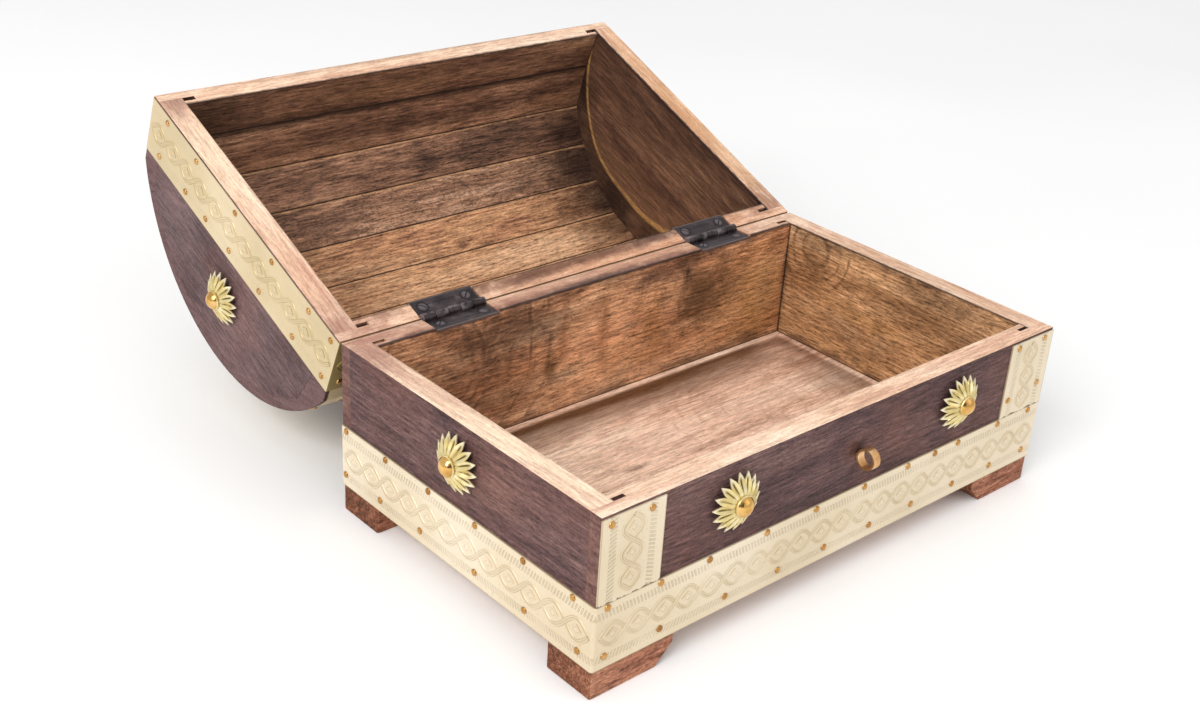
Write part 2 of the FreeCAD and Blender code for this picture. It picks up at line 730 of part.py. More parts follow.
def make_hasp():
    """A slotted leaf on a pin, which hangs over the staple when the lid is shut."""
    left, right = "staple_offset - hasp_width / 2", "staple_offset + hasp_width / 2"
    inner_left, inner_right = "staple_offset - hasp_width / 4", "staple_offset + hasp_width / 4"
    face = "lid_front - lid_brass"
    plate = block("HaspPlateSheet",
                  ("staple_offset - hasp_plate_width / 2", "staple_offset + hasp_plate_width / 2"),
                  (f"{face} - hasp_thick", face),
                  ("hasp_axis_up + hasp_knuckle_radius + swing_clearance",
                   "hasp_axis_up + hasp_plate_height"))
    ears = []
    for name, start, end in (("Left", left, inner_left), ("Right", inner_right, right)):
        ears.append(hasp_knuckle(f"HaspEar{name}", start, end))
        ears.append(block(f"HaspTongue{name}", (start, end), (f"{face} - hasp_thick", face),
                          ("hasp_axis_up", "hasp_axis_up + hasp_knuckle_radius + swing_clearance")))
    keep_on_lid(cut("HaspPlate", fused("HaspPlateSolid", plate, *ears), hasp_bore("HaspPlateBore")),
                "hasp_plate")

    leaf = padded("HaspLeafSheet", "XZ_Plane", "-hasp_axis_out - hasp_thick / 2", "hasp_thick",
                  [(left, "hasp_axis_up + hasp_knuckle_radius + swing_clearance"),
                   (right, "hasp_axis_up + hasp_knuckle_radius + swing_clearance"),
                   (right, "hasp_tip_up"), (left, "hasp_tip_up")], {2: "hasp_end_radius"})
    barrel_left, barrel_right = f"{inner_left} + knuckle_gap", f"{inner_right} - knuckle_gap"
    barrel = hasp_knuckle("HaspBarrel", barrel_left, barrel_right)
    neck = block("HaspNeck", (barrel_left, barrel_right),
                 ("hasp_axis_out - hasp_thick / 2", "hasp_axis_out + hasp_thick / 2"),
                 ("hasp_axis_up", "hasp_axis_up + hasp_knuckle_radius + swing_clearance"))
    half_slot = "(staple_width / 2 + hasp_slot_clearance)"
    slot = block("HaspSlot", (f"staple_offset - {half_slot}", f"staple_offset + {half_slot}"),
                 ("hasp_axis_out - hasp_thick", "hasp_axis_out + hasp_thick"),
                 ("hasp_slot_up - hasp_slot_half", "hasp_slot_up + hasp_slot_half"))
    keep_on_lid(cut("HaspLeaf", fused("HaspLeafSolid", leaf, barrel, neck), slot,
                    hasp_bore("HaspLeafBore")), "hasp_leaf")

    pin = rod("HaspPin", "hasp_pin_radius", "-hasp_width / 2", "hasp_width",
              "staple_offset", "hasp_axis_out", "hasp_axis_up")
    keep_on_lid(group("HaspPinOnLid", [pin]), "hasp_pin")


def write_parts():
    """Stop if anything failed, and write each sub-part to a file of its own name."""
    doc.recompute()
    for item in doc.Objects:
        if "Invalid" in item.State or "Error" in item.State:
            raise RuntimeError(f"{item.Name} failed: {item.State}")
    for piece in sub_parts:
        if piece.Shape.isNull() or not piece.Shape.isValid() or not piece.Shape.Solids:
            raise RuntimeError(f"{piece.Label} has no valid solid")
    os.makedirs("parts", exist_ok=True)
    for piece in sub_parts:
        piece.Shape.exportStep(f"parts/{piece.Label}.step")


make_base_boards()
make_feet()
make_lid_rails()
make_lid_ends()
make_lid_staves()
make_bands()
make_front_plates()
make_lid_straps()
make_rosettes()
make_hinges()
make_staple()
make_hasp()
write_parts()
print(len(sub_parts), "sub-parts written")
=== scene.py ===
import json
import math

import bpy
from mathutils import Euler, Matrix, Vector


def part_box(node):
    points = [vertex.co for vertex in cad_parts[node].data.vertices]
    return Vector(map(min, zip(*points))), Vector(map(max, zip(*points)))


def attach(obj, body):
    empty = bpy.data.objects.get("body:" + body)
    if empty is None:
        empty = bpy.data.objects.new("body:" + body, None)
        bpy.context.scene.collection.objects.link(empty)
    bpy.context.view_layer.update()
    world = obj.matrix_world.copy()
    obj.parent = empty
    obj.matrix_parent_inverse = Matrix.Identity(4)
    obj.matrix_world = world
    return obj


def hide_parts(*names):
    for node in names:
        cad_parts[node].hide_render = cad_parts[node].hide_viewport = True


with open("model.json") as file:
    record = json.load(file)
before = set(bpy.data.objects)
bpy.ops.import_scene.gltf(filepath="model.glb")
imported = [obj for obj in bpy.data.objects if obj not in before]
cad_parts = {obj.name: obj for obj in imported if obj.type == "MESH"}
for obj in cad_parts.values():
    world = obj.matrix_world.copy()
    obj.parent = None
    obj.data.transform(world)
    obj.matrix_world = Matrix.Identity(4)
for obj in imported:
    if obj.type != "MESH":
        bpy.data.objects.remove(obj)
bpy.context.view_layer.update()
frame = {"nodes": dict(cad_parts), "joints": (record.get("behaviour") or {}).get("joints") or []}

# A domed storage chest of mango wood and embossed brass, with its lid open.
# Metres, in the frame of the solids: +X along the front, +Y to the back, +Z up.

NODES = frame["nodes"]
JOINTS = {joint["name"]: joint for joint in frame["joints"]}
MM = 0.001
SIDES = {"left": -1, "right": 1}
FRONTWARD, BACKWARD = Vector((0, -1, 0)), Vector((0, 1, 0))
# How squarely a face has to look one way to count as that side
SQUARELY = 0.7

# Places of the box, read from the solids
FRONT_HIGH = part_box("base_front_board")[1]
END_LOW, END_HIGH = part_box("base_right_board")
FLOOR_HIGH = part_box("base_floor_panel")[1]
BAND_LOW, BAND_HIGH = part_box("base_band")
HALF_WIDTH = FRONT_HIGH.x
HALF_DEPTH = FLOOR_HIGH.y
WALL = END_HIGH.x - END_LOW.x
RIM = FRONT_HIGH.z
WALL_FOOT = FLOOR_HIGH.z
BAND_MIDDLE = (BAND_LOW.z + BAND_HIGH.z) / 2
BAND_HALF = (BAND_HIGH.z - BAND_LOW.z) / 2
BAND_FACE = BAND_HIGH.x - HALF_WIDTH
INSIDE_HALF_WIDTH = HALF_WIDTH - WALL
INSIDE_HALF_DEPTH = HALF_DEPTH - WALL
WALL_MIDDLE = (WALL_FOOT + RIM) / 2
WALL_HALF = (RIM - WALL_FOOT) / 2

# The lid, in its own shut frame about the hinge axis
HINGE = Vector(JOINTS["lid_hinge"]["pos_m"])
OPEN_ANGLE = math.radians(JOINTS["lid_hinge"]["range_deg"][1])
SHUTTING = Matrix.Rotation(OPEN_ANGLE, 3, "X")
OPENING = Matrix.Rotation(-OPEN_ANGLE, 3, "X")
LID_BACK = HALF_DEPTH - HINGE.y
LID_MIDDLE = LID_BACK - HALF_DEPTH
LID_RIM = 0.3 * MM
LID_BAND_MIDDLE = LID_RIM + 17.5 * MM
LID_BAND_HALF = 16.5 * MM
LID_BAND_FACE = 0.2 * MM
RAIL_HEIGHT = 24 * MM
RAIL_THICKNESS = 10 * MM
LID_INSIDE_HALF_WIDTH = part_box("lid_right_end")[0].x
LID_INSIDE_HALF_DEPTH = HALF_DEPTH - RAIL_THICKNESS
SHOULDER = 41 * MM
DOME_RISE = 57.5 * MM
DOME_RADIUS = (HALF_DEPTH ** 2 + DOME_RISE ** 2) / (2 * DOME_RISE)
DOME_LEVEL = LID_RIM + SHOULDER + DOME_RISE - DOME_RADIUS
SHOULDER_ANGLE = 2 * math.atan(DOME_RISE / HALF_DEPTH)
STAVES = 9
FRONT_SEAM = SHOULDER_ANGLE - math.radians(10)
BACK_SEAM = math.radians(15) - SHOULDER_ANGLE
STAVE_STEP = (FRONT_SEAM - BACK_SEAM) / (STAVES - 2)


def shut(point):
    """A point of the open lid, in the frame of the shut lid about the hinge axis."""
    return SHUTTING @ (point - HINGE)


def opened(point):
    """A point of the shut lid, where it is on the open lid."""
    return OPENING @ point + HINGE


def across_box(box):
    """Middle and half width of a solid's box along X."""
    low, high = box
    return (low.x + high.x) / 2, (high.x - low.x) / 2


def paint(code):
    """A colour from its hex code, as linear red, green and blue."""
    parts = [int(code[start:start + 2], 16) / 255 for start in (1, 3, 5)]
    return (*[part / 12.92 if part < 0.04045 else ((part + 0.055) / 1.055) ** 2.4 for part in parts], 1)


# Shader nodes

class Field:
    """A number, vector or colour that changes over a surface; sums with it become math nodes."""

    def __init__(self, wires, socket):
        self.wires = wires
        self.socket = socket

    def __add__(self, other):
        return self.wires.math("ADD", self, other)

    def __sub__(self, other):
        return self.wires.math("SUBTRACT", self, other)

    def __rsub__(self, other):
        return self.wires.math("SUBTRACT", other, self)

    def __mul__(self, other):
        return self.wires.math("MULTIPLY", self, other)

    def __truediv__(self, other):
        return self.wires.math("DIVIDE", self, other)

    def __abs__(self):
        return self.wires.math("ABSOLUTE", self)

    def fade(self, low, high, start=0.0, end=1.0):
        """Goes smoothly from start to end as the value passes from low to high."""
        sockets = {"Value": self, "From Min": low, "From Max": high, "To Min": start, "To Max": end}
        return self.wires.put("ShaderNodeMapRange", sockets, interpolation_type="SMOOTHSTEP")

    def below(self, low, high):
        """One up to low, and gone at high."""
        return self.fade(low, high, 1.0, 0.0)

    def within(self, low, high, blur):
        """One between two values and nought outside them, with soft edges."""
        return self.fade(low - blur, low + blur) * self.below(high - blur, high + blur)

    def stroke(self, width):
        """A drawn line where a distance is about nought."""
        return abs(self).below(width * 0.4, width)


class Wiring:
    """Adds nodes to one tree and links them."""

    def __init__(self, tree):
        self.tree = tree

    def add(self, kind, sockets=None, **settings):
        node = self.tree.nodes.new(kind)
        for name, setting in settings.items():
            setattr(node, name, setting)
        for socket, source in (sockets or {}).items():
            self.feed(node.inputs[socket], source)
        return node

    def feed(self, socket, source):
        if isinstance(source, Field):
            self.tree.links.new(source.socket, socket)
        else:
            socket.default_value = source

    def put(self, kind, sockets=None, output=0, **settings):
        """Add a node and give one of its outputs."""
        return Field(self, self.add(kind, sockets, **settings).outputs[output])

    def math(self, operation, *values, clamp=False):
        return self.put("ShaderNodeMath", dict(enumerate(values)), operation=operation, use_clamp=clamp)

    def length(self, across, up):
        return self.math("SQRT", across * across + up * up)

    def moved(self, vector, shift=(0, 0, 0), turn=(0, 0, 0), scale=(1, 1, 1)):
        sockets = {"Vector": vector, "Location": shift, "Rotation": turn, "Scale": scale}
        return self.put("ShaderNodeMapping", sockets)

    def split(self, vector):
        return [Field(self, part) for part in self.add("ShaderNodeSeparateXYZ", {0: vector}).outputs]

    def noise(self, vector, scale=1.0, detail=2.0, roughness=0.5, distortion=0.0):
        sockets = {"Vector": vector, "Scale": scale, "Detail": detail, "Roughness": roughness,
                   "Distortion": distortion}
        return self.put("ShaderNodeTexNoise", sockets)

    def mix(self, factor, one, other, blend="MIX"):
        sockets = {0: factor, 6: one, 7: other}
        return self.put("ShaderNodeMix", sockets, 2, data_type="RGBA", blend_type=blend)

    def use(self, group, **sockets):
        named = {name.replace("_", " ").title(): source for name, source in sockets.items()}
        node = self.add("ShaderNodeGroup", named, node_tree=group)
        return [Field(self, output) for output in node.outputs]


def effect(name, inputs, outputs):
    """An empty shader group; its sockets are numbers, apart from the one called Vector."""
    tree = bpy.data.node_groups.new(name, "ShaderNodeTree")
    for way, sockets in (("INPUT", inputs), ("OUTPUT", outputs)):
        for socket in sockets:
            kind = "NodeSocketVector" if socket == "Vector" else "NodeSocketFloat"
            tree.interface.new_socket(socket, in_out=way, socket_type=kind)
    wires = Wiring(tree)
    entry = wires.add("NodeGroupInput").outputs
    given = [Field(wires, entry[socket]) for socket in inputs]
    return tree, wires, given, wires.add("NodeGroupOutput").inputs


def make_grain():
    """Mango wood with its grain along X: broad figure, growth rings, fine lines and short open pores."""
    tree, wires, (vector,), result = effect("mango_grain", ("Vector",), ("Tone", "Fibres", "Height"))
    broad = wires.noise(wires.moved(vector, scale=(5, 38, 38)), detail=4, distortion=0.6)
    swell = wires.noise(wires.moved(vector, scale=(3.4, 17, 17)), detail=1, distortion=0.9)
    rings = wires.math("SINE", swell * 58)
    lines = wires.noise(wires.moved(vector, scale=(75, 720, 720)), detail=4, roughness=0.68, distortion=0.3)
    pores = wires.noise(wires.moved(vector, scale=(430, 1900, 1900)), detail=1).fade(0.5, 0.66)
    wires.feed(result["Tone"], (lines - 0.5) * 0.6 + broad + rings * 0.06)
    wires.feed(result["Fibres"], wires.math("MAXIMUM", (lines - 0.5) * 2.2 + 1.06 - pores * 0.3, 0.3))
    wires.feed(result["Height"], lines * 0.6 - pores)
    return tree


def make_border():
    """How far a point of a panel is from the panel's nearest edge."""
    sockets = ("U", "V", "Half U", "Half V")
    tree, wires, (u, v, half_u, half_v), result = effect("panel_border", sockets, ("Distance",))
    wires.feed(result["Distance"], wires.math("MINIMUM", half_u - abs(u), half_v - abs(v)))
    return tree


def make_smoke():
    """Soft scorched patches, gathered towards a panel's edges."""
    sockets = ("Vector", "Distance", "Reach", "Patches")
    tree, wires, (vector, distance, reach, patches), result = effect("scorching", sockets, ("Burn",))
    cloud = wires.noise(vector, 26, detail=3, roughness=0.55)
    ragged = wires.noise(vector, 210)
    near = ((cloud - 0.5) * 0.03 + distance).below(0.0, reach)
    burn = wires.math("MAXIMUM", near, cloud.fade(0.5, 0.72) * patches)
    wires.feed(result["Burn"], wires.math("MULTIPLY", burn, (ragged - 0.5) * 0.5 + 0.95, clamp=True))
    return tree


def make_mark():
    """One soft, ragged mark on a panel: strongest in its middle and gone at its reach."""
    sockets = ("Vector", "U", "V", "At U", "At V", "Reach U", "Reach V")
    tree, wires, given, result = effect("soft_mark", sockets, ("Mask",))
    vector, u, v, at_u, at_v, reach_u, reach_v = given
    away = wires.length((u - at_u) / reach_u, (v - at_v) / reach_v)
    ragged = wires.noise(vector, 95, detail=5, roughness=0.72, distortion=0.4)
    wires.feed(result["Mask"], ((ragged - 0.5) * 1.5 + away).below(0.1, 1.15))
    return tree


def make_beating():
    """Two rows of short strokes along a sheet's edges, and the dents left from beating it."""
    sockets = ("U", "V", "Vector", "Strokes")
    tree, wires, (u, v, vector, strokes), result = effect("beaten_sheet", sockets, ("Height", "Lines"))
    row_start, row_end, pitch = 9.0 * MM, 12.4 * MM, 1.9 * MM
    away = abs(v)
    comb = wires.math("PINGPONG", away * 0.35 + u, pitch / 2).stroke(0.5 * MM)
    row = away.within(row_start, row_end, 0.2 * MM) * strokes
    pressed = comb * row * wires.noise(vector, 45).fade(0.25, 0.6, 0.35, 1.0)
    wires.feed(result["Height"], wires.noise(vector, 160) * 0.35 - pressed)
    wires.feed(result["Lines"], pressed)
    return tree


GRAIN = make_grain()
BORDER = make_border()
SMOKE = make_smoke()
MARK = make_mark()
BEATING = make_beating()


class Surface(Wiring):
    """A material whose colour is built up stain by stain; own_place is its place in the shut chest."""

    def __init__(self, name, roughness=0.5, metallic=0.0, specular=0.5, lid=False):
        self.material = bpy.data.materials.new(name)
        self.material.use_nodes = True
        super().__init__(self.material.node_tree)
        self.shader = self.tree.nodes["Principled BSDF"].inputs
        self.shader["Roughness"].default_value = roughness
        self.shader["Metallic"].default_value = metallic
        self.shader["Specular IOR Level"].default_value = specular
        self.place = self.put("ShaderNodeTexCoord", output="Object")
        self.own_place = self.place
        if lid:
            turn = Euler((OPEN_ANGLE, 0, 0))
            self.own_place = self.moved(self.place, shift=-(turn.to_matrix() @ HINGE), turn=turn)

    def mottle(self, scale, detail=2.0, roughness=0.5):
        """Noise over the whole surface."""
        return self.noise(self.place, scale, detail, roughness)

    def own_wood(self, grain, seed):
        """Coordinates with the grain along X, moved to a stretch of wood of this board's own."""
        turn = {"x": (0, 0, 0), "y": (0, 0, math.pi / 2)}[grain]
        return self.moved(self.own_place, shift=(seed * 0.73, seed * 0.31, seed * 0.17), turn=turn)

    def shade(self, factor, places, shades):
        """Start with colours that go by a factor."""
        node = self.add("ShaderNodeValToRGB", {0: factor})
        elements = node.color_ramp.elements
        while len(elements) < len(shades):
            elements.new(0.5)
        for element, place, code in zip(elements, places, shades):
            element.position = place
            element.color = paint(code)
        self.colour = Field(self, node.outputs[0])

    def stain(self, mask, strength, code):
        """Lay another colour over what is there, where a mask says so."""
        self.colour = self.mix(mask * strength, self.colour, paint(code))

    def lay_marks(self, u, v, marks):
        """Lay marks on; each has its middle and reach along u and v in millimetres, strength and colour."""
        for at_u, at_v, reach_u, reach_v, strength, code in marks:
            mask = self.use(MARK, vector=self.place, u=u, v=v, at_u=at_u * MM, at_v=at_v * MM,
                            reach_u=reach_u * MM, reach_v=reach_v * MM)[0]
            self.stain(mask, strength, code)

    def draw_rings(self, u, v, rings, strength, code):
        """Thin arcs of growth rings: their centre, least and greatest radius and pitch in millimetres."""
        (centre_u, centre_v), near, far, pitch = rings
        radius = self.length(u - centre_u * MM, v - centre_v * MM)
        radius = (self.mottle(32, 3) - 0.5) * (14 * MM) + radius
        lines = self.math("PINGPONG", radius, pitch * MM / 2).stroke(1.5 * MM)
        broken = lines * self.mottle(75).fade(0.35, 0.6)
        self.stain(broken * radius.within(near * MM, far * MM, 3 * MM), strength, code)

    def finish(self, height=None, depth=0.0):
        """Put the colour on, with a relief of some depth, and give the material."""
        self.feed(self.shader["Base Color"], self.colour)
        if height is not None:
            sockets = {"Height": height, "Distance": depth, "Strength": 1.0}
            self.feed(self.shader["Normal"], self.put("ShaderNodeBump", sockets))
        return self.material

    def show_grain(self, fibres, height, depth):
        """Finish a wood: its fibres run on through every stain and scorch, and stand up a little."""
        self.colour = self.mix(1.0, self.colour, fibres, "MULTIPLY")
        return self.finish(height, depth)


# Wood

def stained_wood(name, grain, seed, lid=False, warm=0.0, faded=0.0, marks=(), painted_gap_light=0.0):
    """The dark stain on the outside of the chest; its marks are placed by X and Z."""
    wood = Surface(name, roughness=0.6, specular=0.18, lid=lid)
    tone, fibres, height = wood.use(GRAIN, vector=wood.own_wood(grain, seed))
    tone = (wood.mottle(750, roughness=0.6) - 0.5) * 0.5 + tone
    wood.shade(tone, (0.15, 0.45, 0.7, 0.95), ("#382A29", "#563E3E", "#6A4F4C", "#82655C"))
    wood.stain(wood.mottle(14, 3).fade(0.5 - warm, 0.8), 0.55, "#7A5042")
    wood.stain(wood.mottle(22, 3).fade(0.3, 0.65), faded, "#90787A")
    parts = wood.split(wood.own_place)
    wood.lay_marks(parts[0], parts[2], marks)
    # Painted light: a pale strip along the rim's outer edge, lightening the shade in the gap between lid and
    # base
    from_rim = abs(parts[2] - (LID_RIM if lid else RIM))
    wood.stain(from_rim.below(0.8 * MM, 2.2 * MM), painted_gap_light, "#B88A6C")
    return wood.show_grain(fibres, height, 0.12 * MM)


# Shades of the bare rims, from dark to pale, on the base and on the lid
RIM_SHADES = {False: ("#C69478", "#EBC1A3", "#F8DABF", "#FDEAD4"),
              True: ("#BC8A6E", "#E4B89A", "#F2D0B4", "#FAE4CC")}


def rim_wood(name, grain, seed, inner, edge_darkening, lid=False, marks=()):
    """Bare wood of a rim: inner is its inner edge's axis, place and middle, edge_darkening that edge's
    darkness and width.
    """
    wood = Surface(name, roughness=0.62, specular=0.2, lid=lid)
    own_wood = wood.own_wood(grain, seed)
    tone, fibres, height = wood.use(GRAIN, vector=own_wood)
    wood.shade(tone, (0.15, 0.42, 0.62, 0.9), RIM_SHADES[lid])
    streaks = wood.noise(wood.moved(own_wood, scale=(16, 190, 190)), detail=4, roughness=0.6)
    parts = wood.split(wood.own_place)
    corner = abs(parts[0]).fade(HALF_WIDTH - 60 * MM, HALF_WIDTH - 10 * MM)
    wood.stain(streaks.fade(0.5, 0.68), corner * 0.5 + 0.28, "#BC8878")
    wood.lay_marks(parts[0], parts[1], marks)
    axis, edge, middle = inner
    dark, width = edge_darkening
    ragged = wood.mottle(260, 3) * (1.6 * MM) - 0.8 * MM
    from_edge = abs(abs(parts[axis] - middle) - edge) + ragged
    wood.stain(from_edge.below(width * 0.3, width), dark, "#3A2A2A")
    return wood.show_grain(fibres * 0.55 + 0.45, height, 0.1 * MM)


# Shades of the waxed wood inside, from dark to pale, and the tones that they stand for
ORANGE_BROWN = ("#8A5C3A", "#CC9068", "#DEA87E", "#EEC6A0")
GOLD_BROWN = ("#744E32", "#B6885E", "#D0A276", "#E6C096")
AMBER_BROWN = ("#6A4430", "#B07C5C", "#CA966E", "#E2B48C")
PINK_BROWN = ("#4E382C", "#8A644E", "#A87E62", "#C8A084")
DARK_BROWN = ("#46302A", "#70503E", "#8C664E", "#AE8666")
INSIDE_TONES = (0.2, 0.42, 0.6, 0.85)
SMOKE_BROWN = "#3C2820"
# Colour of the dark lines at seams and edges, of painted shade in the inside corners and of a painted shadow
# under the lid's front rail
DARK_LINE = "#241612"


def inside_wood(name, grain, seed, panel, shades, reach, patches, lid=False, marks=(), rings=()):
    """Waxed wood inside the chest, scorched at its edges; panel gives its two axes, middle and half size."""
    wood = Surface(name, roughness=0.52, specular=0.22, lid=lid)
    tone, fibres, height = wood.use(GRAIN, vector=wood.own_wood(grain, seed))
    wood.shade(tone, INSIDE_TONES, shades)
    axes, middle, half = panel
    parts = wood.split(wood.own_place)
    u, v = (parts[axis] for axis in axes)
    for ring in rings:
        wood.draw_rings(u, v, ring, 0.55, "#5A3C28")
    wood.lay_marks(u, v, marks)
    distance = wood.use(BORDER, u=u - middle[0], v=v - middle[1], half_u=half[0], half_v=half[1])[0]
    burn = wood.use(SMOKE, vector=wood.place, distance=distance, reach=reach, patches=patches)[0]
    wood.stain(burn, 0.6, SMOKE_BROWN)
    # A dark line along the panel's edges: dark joints, and painted shade where the panel meets the other
    # walls and the floor
    wood.stain(distance.below(0.3 * MM, 1.1 * MM), 0.75, DARK_LINE)
    return wood.show_grain(fibres * 1.35 - 0.35, height, 0.14 * MM)


FLOOR_RINGS = ((62, 22), 8, 60, 9)
FLOOR_MARKS = [(27, 7, 34, 2.2, 0.4, "#8A5E48"), (-34, 11, 9, 2.5, 0.65, "#6E4838"),
               (-27, 28, 40, 12, 0.3, "#D0A088"), (79, 30, 40, 20, 0.35, "#F0CDB2")]


def floor_wood():
    """The bottom of the chest: pale and pinkish, with a scorched band a little way in from the walls."""
    wood = Surface("floor_wood", roughness=0.58, specular=0.2)
    tone, fibres, height = wood.use(GRAIN, vector=wood.own_wood("x", 4.4))
    wood.shade(tone, (0.15, 0.42, 0.62, 0.9), ("#BE8E72", "#E8BFA5", "#F4D3B9", "#FAE2CC"))
    x, y = wood.split(wood.place)[:2]
    wood.draw_rings(x, y, FLOOR_RINGS, 0.4, "#C89A80")
    wood.lay_marks(x, y, FLOOR_MARKS)
    distance = wood.use(BORDER, u=x, v=y, half_u=INSIDE_HALF_WIDTH, half_v=INSIDE_HALF_DEPTH)[0]
    cloud = wood.noise(wood.moved(wood.place, scale=(9, 30, 30)), detail=3)
    wavy = (cloud - 0.5) * (24 * MM) + distance
    clear = distance.fade(2.5 * MM, 6 * MM) * x.fade(95 * MM, 125 * MM, 1.0, 0.5)
    for reach, strength in ((38 * MM, 0.66), (18 * MM, 0.88)):
        wood.stain(clear * wavy.below(0.45 * reach, reach), strength, "#5E3612")
    return wood.show_grain(fibres * 0.7 + 0.3, height, 0.1 * MM)


def end_grain(name, *shades):
    """Sawn ends of boards: short rings and speckles in place of long grain."""
    wood = Surface(name, roughness=0.68, specular=0.15)
    speckle = wood.mottle(700)
    rings = wood.noise(wood.moved(wood.place, scale=(200, 60, 320)), detail=3, distortion=0.8)
    wood.shade(speckle * 0.4 + rings * 0.6, (0.3, 0.5, 0.7), shades)
    return wood.finish(speckle, 0.1 * MM)


def foot_wood(name, *shades):
    """Reddish, roughly sawn wood of the feet."""
    wood = Surface(name, roughness=0.7, specular=0.15)
    tone, fibres, height = wood.use(GRAIN, vector=wood.own_wood("x", 7.7))
    rough = wood.mottle(420, 4, 0.7)
    wood.shade((rough - 0.5) * 0.9 + tone, (0.2, 0.45, 0.65, 0.9), shades)
    return wood.show_grain(fibres, height + rough, 0.25 * MM)


# Staves of the dome, numbered from the front: how light each is, how burnt its ends are, and its marks
STAVE_LIGHT = (0.03, 0.0, 0.08, 0.06, 0.13, 0.1, 0.12, 0.05, 0.0)
STAVE_END_BURN = (0.35, 0.6, 0.85, 0.95, 0.45, 0.5, 0.7, 0.6, 0.5)
STAVE_MARKS = {
    1: [(0, 106, 95, 7, 0.6, "#3A2822"), (62, 110, 60, 6, 0.5, "#422E26"),
        (116, 104, 22, 6, 0.35, "#8E6644"), (-95, 108, 30, 6, 0.4, "#7A5644")],
    2: [(35, 82, 60, 3.5, 0.6, "#4A322A"), (-60, 76, 40, 4, 0.4, "#A87C66"),
        (128, 80, 34, 14, 0.75, "#2E1F1A")],
    3: [(-48, 57, 34, 8, 0.55, "#5C4036"), (20, 60, 30, 4, 0.4, "#4E362E"),
        (70, 54, 26, 6, 0.3, "#B08A74"), (130, 56, 56, 26, 0.85, "#302019")],
    4: [(49, 34, 50, 6, 0.35, "#C8986C"), (22, 22, 6, 3, 0.75, "#5A3826"),
        (-40, 22, 60, 3, 0.35, "#8A5E42"), (132, 30, 52, 26, 0.75, "#38251C")],
    5: [(-40, 12, 60, 6, 0.4, "#DCAC80"), (70, 3, 70, 16, 0.75, "#ECBE96"),
        (134, 8, 42, 18, 0.65, "#4A3220")],
}
PINK_STAVES = (1, 2, 3)
CURLED_STAVE = 3


def stave_inside(number):
    """The inner side of one stave: rubbed pale along its front edge, cracked at seams, burnt at its ends."""
    wood = Surface(f"stave_{number}_inside", roughness=0.52, specular=0.22, lid=True)
    tone, fibres, height = wood.use(GRAIN, vector=wood.own_wood("x", 11.0 + 1.37 * number))
    shades = PINK_BROWN if number in PINK_STAVES else AMBER_BROWN
    wood.shade(tone + STAVE_LIGHT[number - 1], INSIDE_TONES, shades)
    x, y, z = wood.split(wood.own_place)
    angle = wood.math("ARCTAN2", LID_MIDDLE - y, z - DOME_LEVEL)
    if number == CURLED_STAVE:
        figure = wood.noise(wood.moved(wood.place, scale=(38, 70, 70)), distortion=1.2)
        wood.stain(wood.math("SINE", figure * 70).fade(0.45, 1.0), 0.4, "#4E362E")
    wood.lay_marks(x, angle * DOME_RADIUS, STAVE_MARKS.get(number, ()))
    to_end = LID_INSIDE_HALF_WIDTH - abs(x)
    burn = wood.use(SMOKE, vector=wood.place, distance=to_end, reach=32 * MM, patches=0.15)[0]
    wood.stain(burn, 0.8 * STAVE_END_BURN[number - 1], "#33231E")
    front_edge = FRONT_SEAM - (number - 2) * STAVE_STEP
    from_back = (angle - (front_edge - STAVE_STEP)) * DOME_RADIUS
    wobble = wood.mottle(110, 3) * (2.4 * MM) - 1.2 * MM
    if number == 1:
        # On the first stave, a painted shadow under the front rail
        from_front = z - (LID_RIM + RAIL_HEIGHT)
        wood.stain((from_front + wobble).below(1.0 * MM, 5.5 * MM), 0.8, DARK_LINE)
    else:
        from_front = (front_edge - angle) * DOME_RADIUS
        wood.stain((from_front + wobble).below(0.8 * MM, 2.0 * MM), 0.6, "#D0A074")
    to_seam = wood.math("MINIMUM", from_front, from_back)
    wood.stain(to_seam.below(0.2 * MM, 0.75 * MM), 0.85, DARK_LINE)
    return wood.show_grain(fibres * 1.35 - 0.35, height, 0.14 * MM)


LID_END_MARKS = [(-162, 38, 12, 14, 0.6, "#3A261E"), (-124, 45, 30, 9, 0.45, "#4A3024"),
                 (-88, 52, 40, 12, 0.4, "#4A3022")]


def lid_end_inside(name, seed):
    """The inner side of the lid's D-shaped end: streaked along the rim, with glue short of the staves."""
    wood = Surface(name, roughness=0.52, specular=0.22, lid=True)
    tone, fibres, height = wood.use(GRAIN, vector=wood.own_wood("y", seed))
    wood.shade(tone - 0.1, INSIDE_TONES, DARK_BROWN)
    y, z = wood.split(wood.own_place)[1:]
    wood.lay_marks(y, z, LID_END_MARKS)
    wood.stain(z.below(26 * MM, 52 * MM), 0.55, "#3E281E")
    wood.stain(z.fade(40 * MM, 66 * MM), 0.55, "#8A6448")
    forward, up = LID_MIDDLE - y, z - DOME_LEVEL
    angle = wood.math("ARCTAN2", forward, up)
    line = angle.fade(math.radians(5), math.radians(40), 76 * MM, 82.5 * MM)
    half_width = angle.fade(math.radians(-20), math.radians(55), 2.4 * MM, 1.2 * MM)
    from_line = wood.length(forward, up) - line
    cloud = wood.mottle(60, 4, 0.65)
    wood.stain(from_line.fade(0.0, 2 * MM) * cloud.fade(0.35, 0.65, 1.0, 0.6), 0.88, "#2A1C16")
    glue = (abs(from_line) / half_width).below(0.3, 1.2) * cloud.fade(0.3, 0.5, 0.55, 1.0)
    glue = glue * angle.fade(math.radians(-60), math.radians(-45))
    wood.stain(glue, 0.8, "#B88C54")
    wood.stain(z.below(0.6 * MM, 2.0 * MM), 0.8, DARK_LINE)
    return wood.show_grain(fibres, height + glue * 2, 0.14 * MM)


# Metal

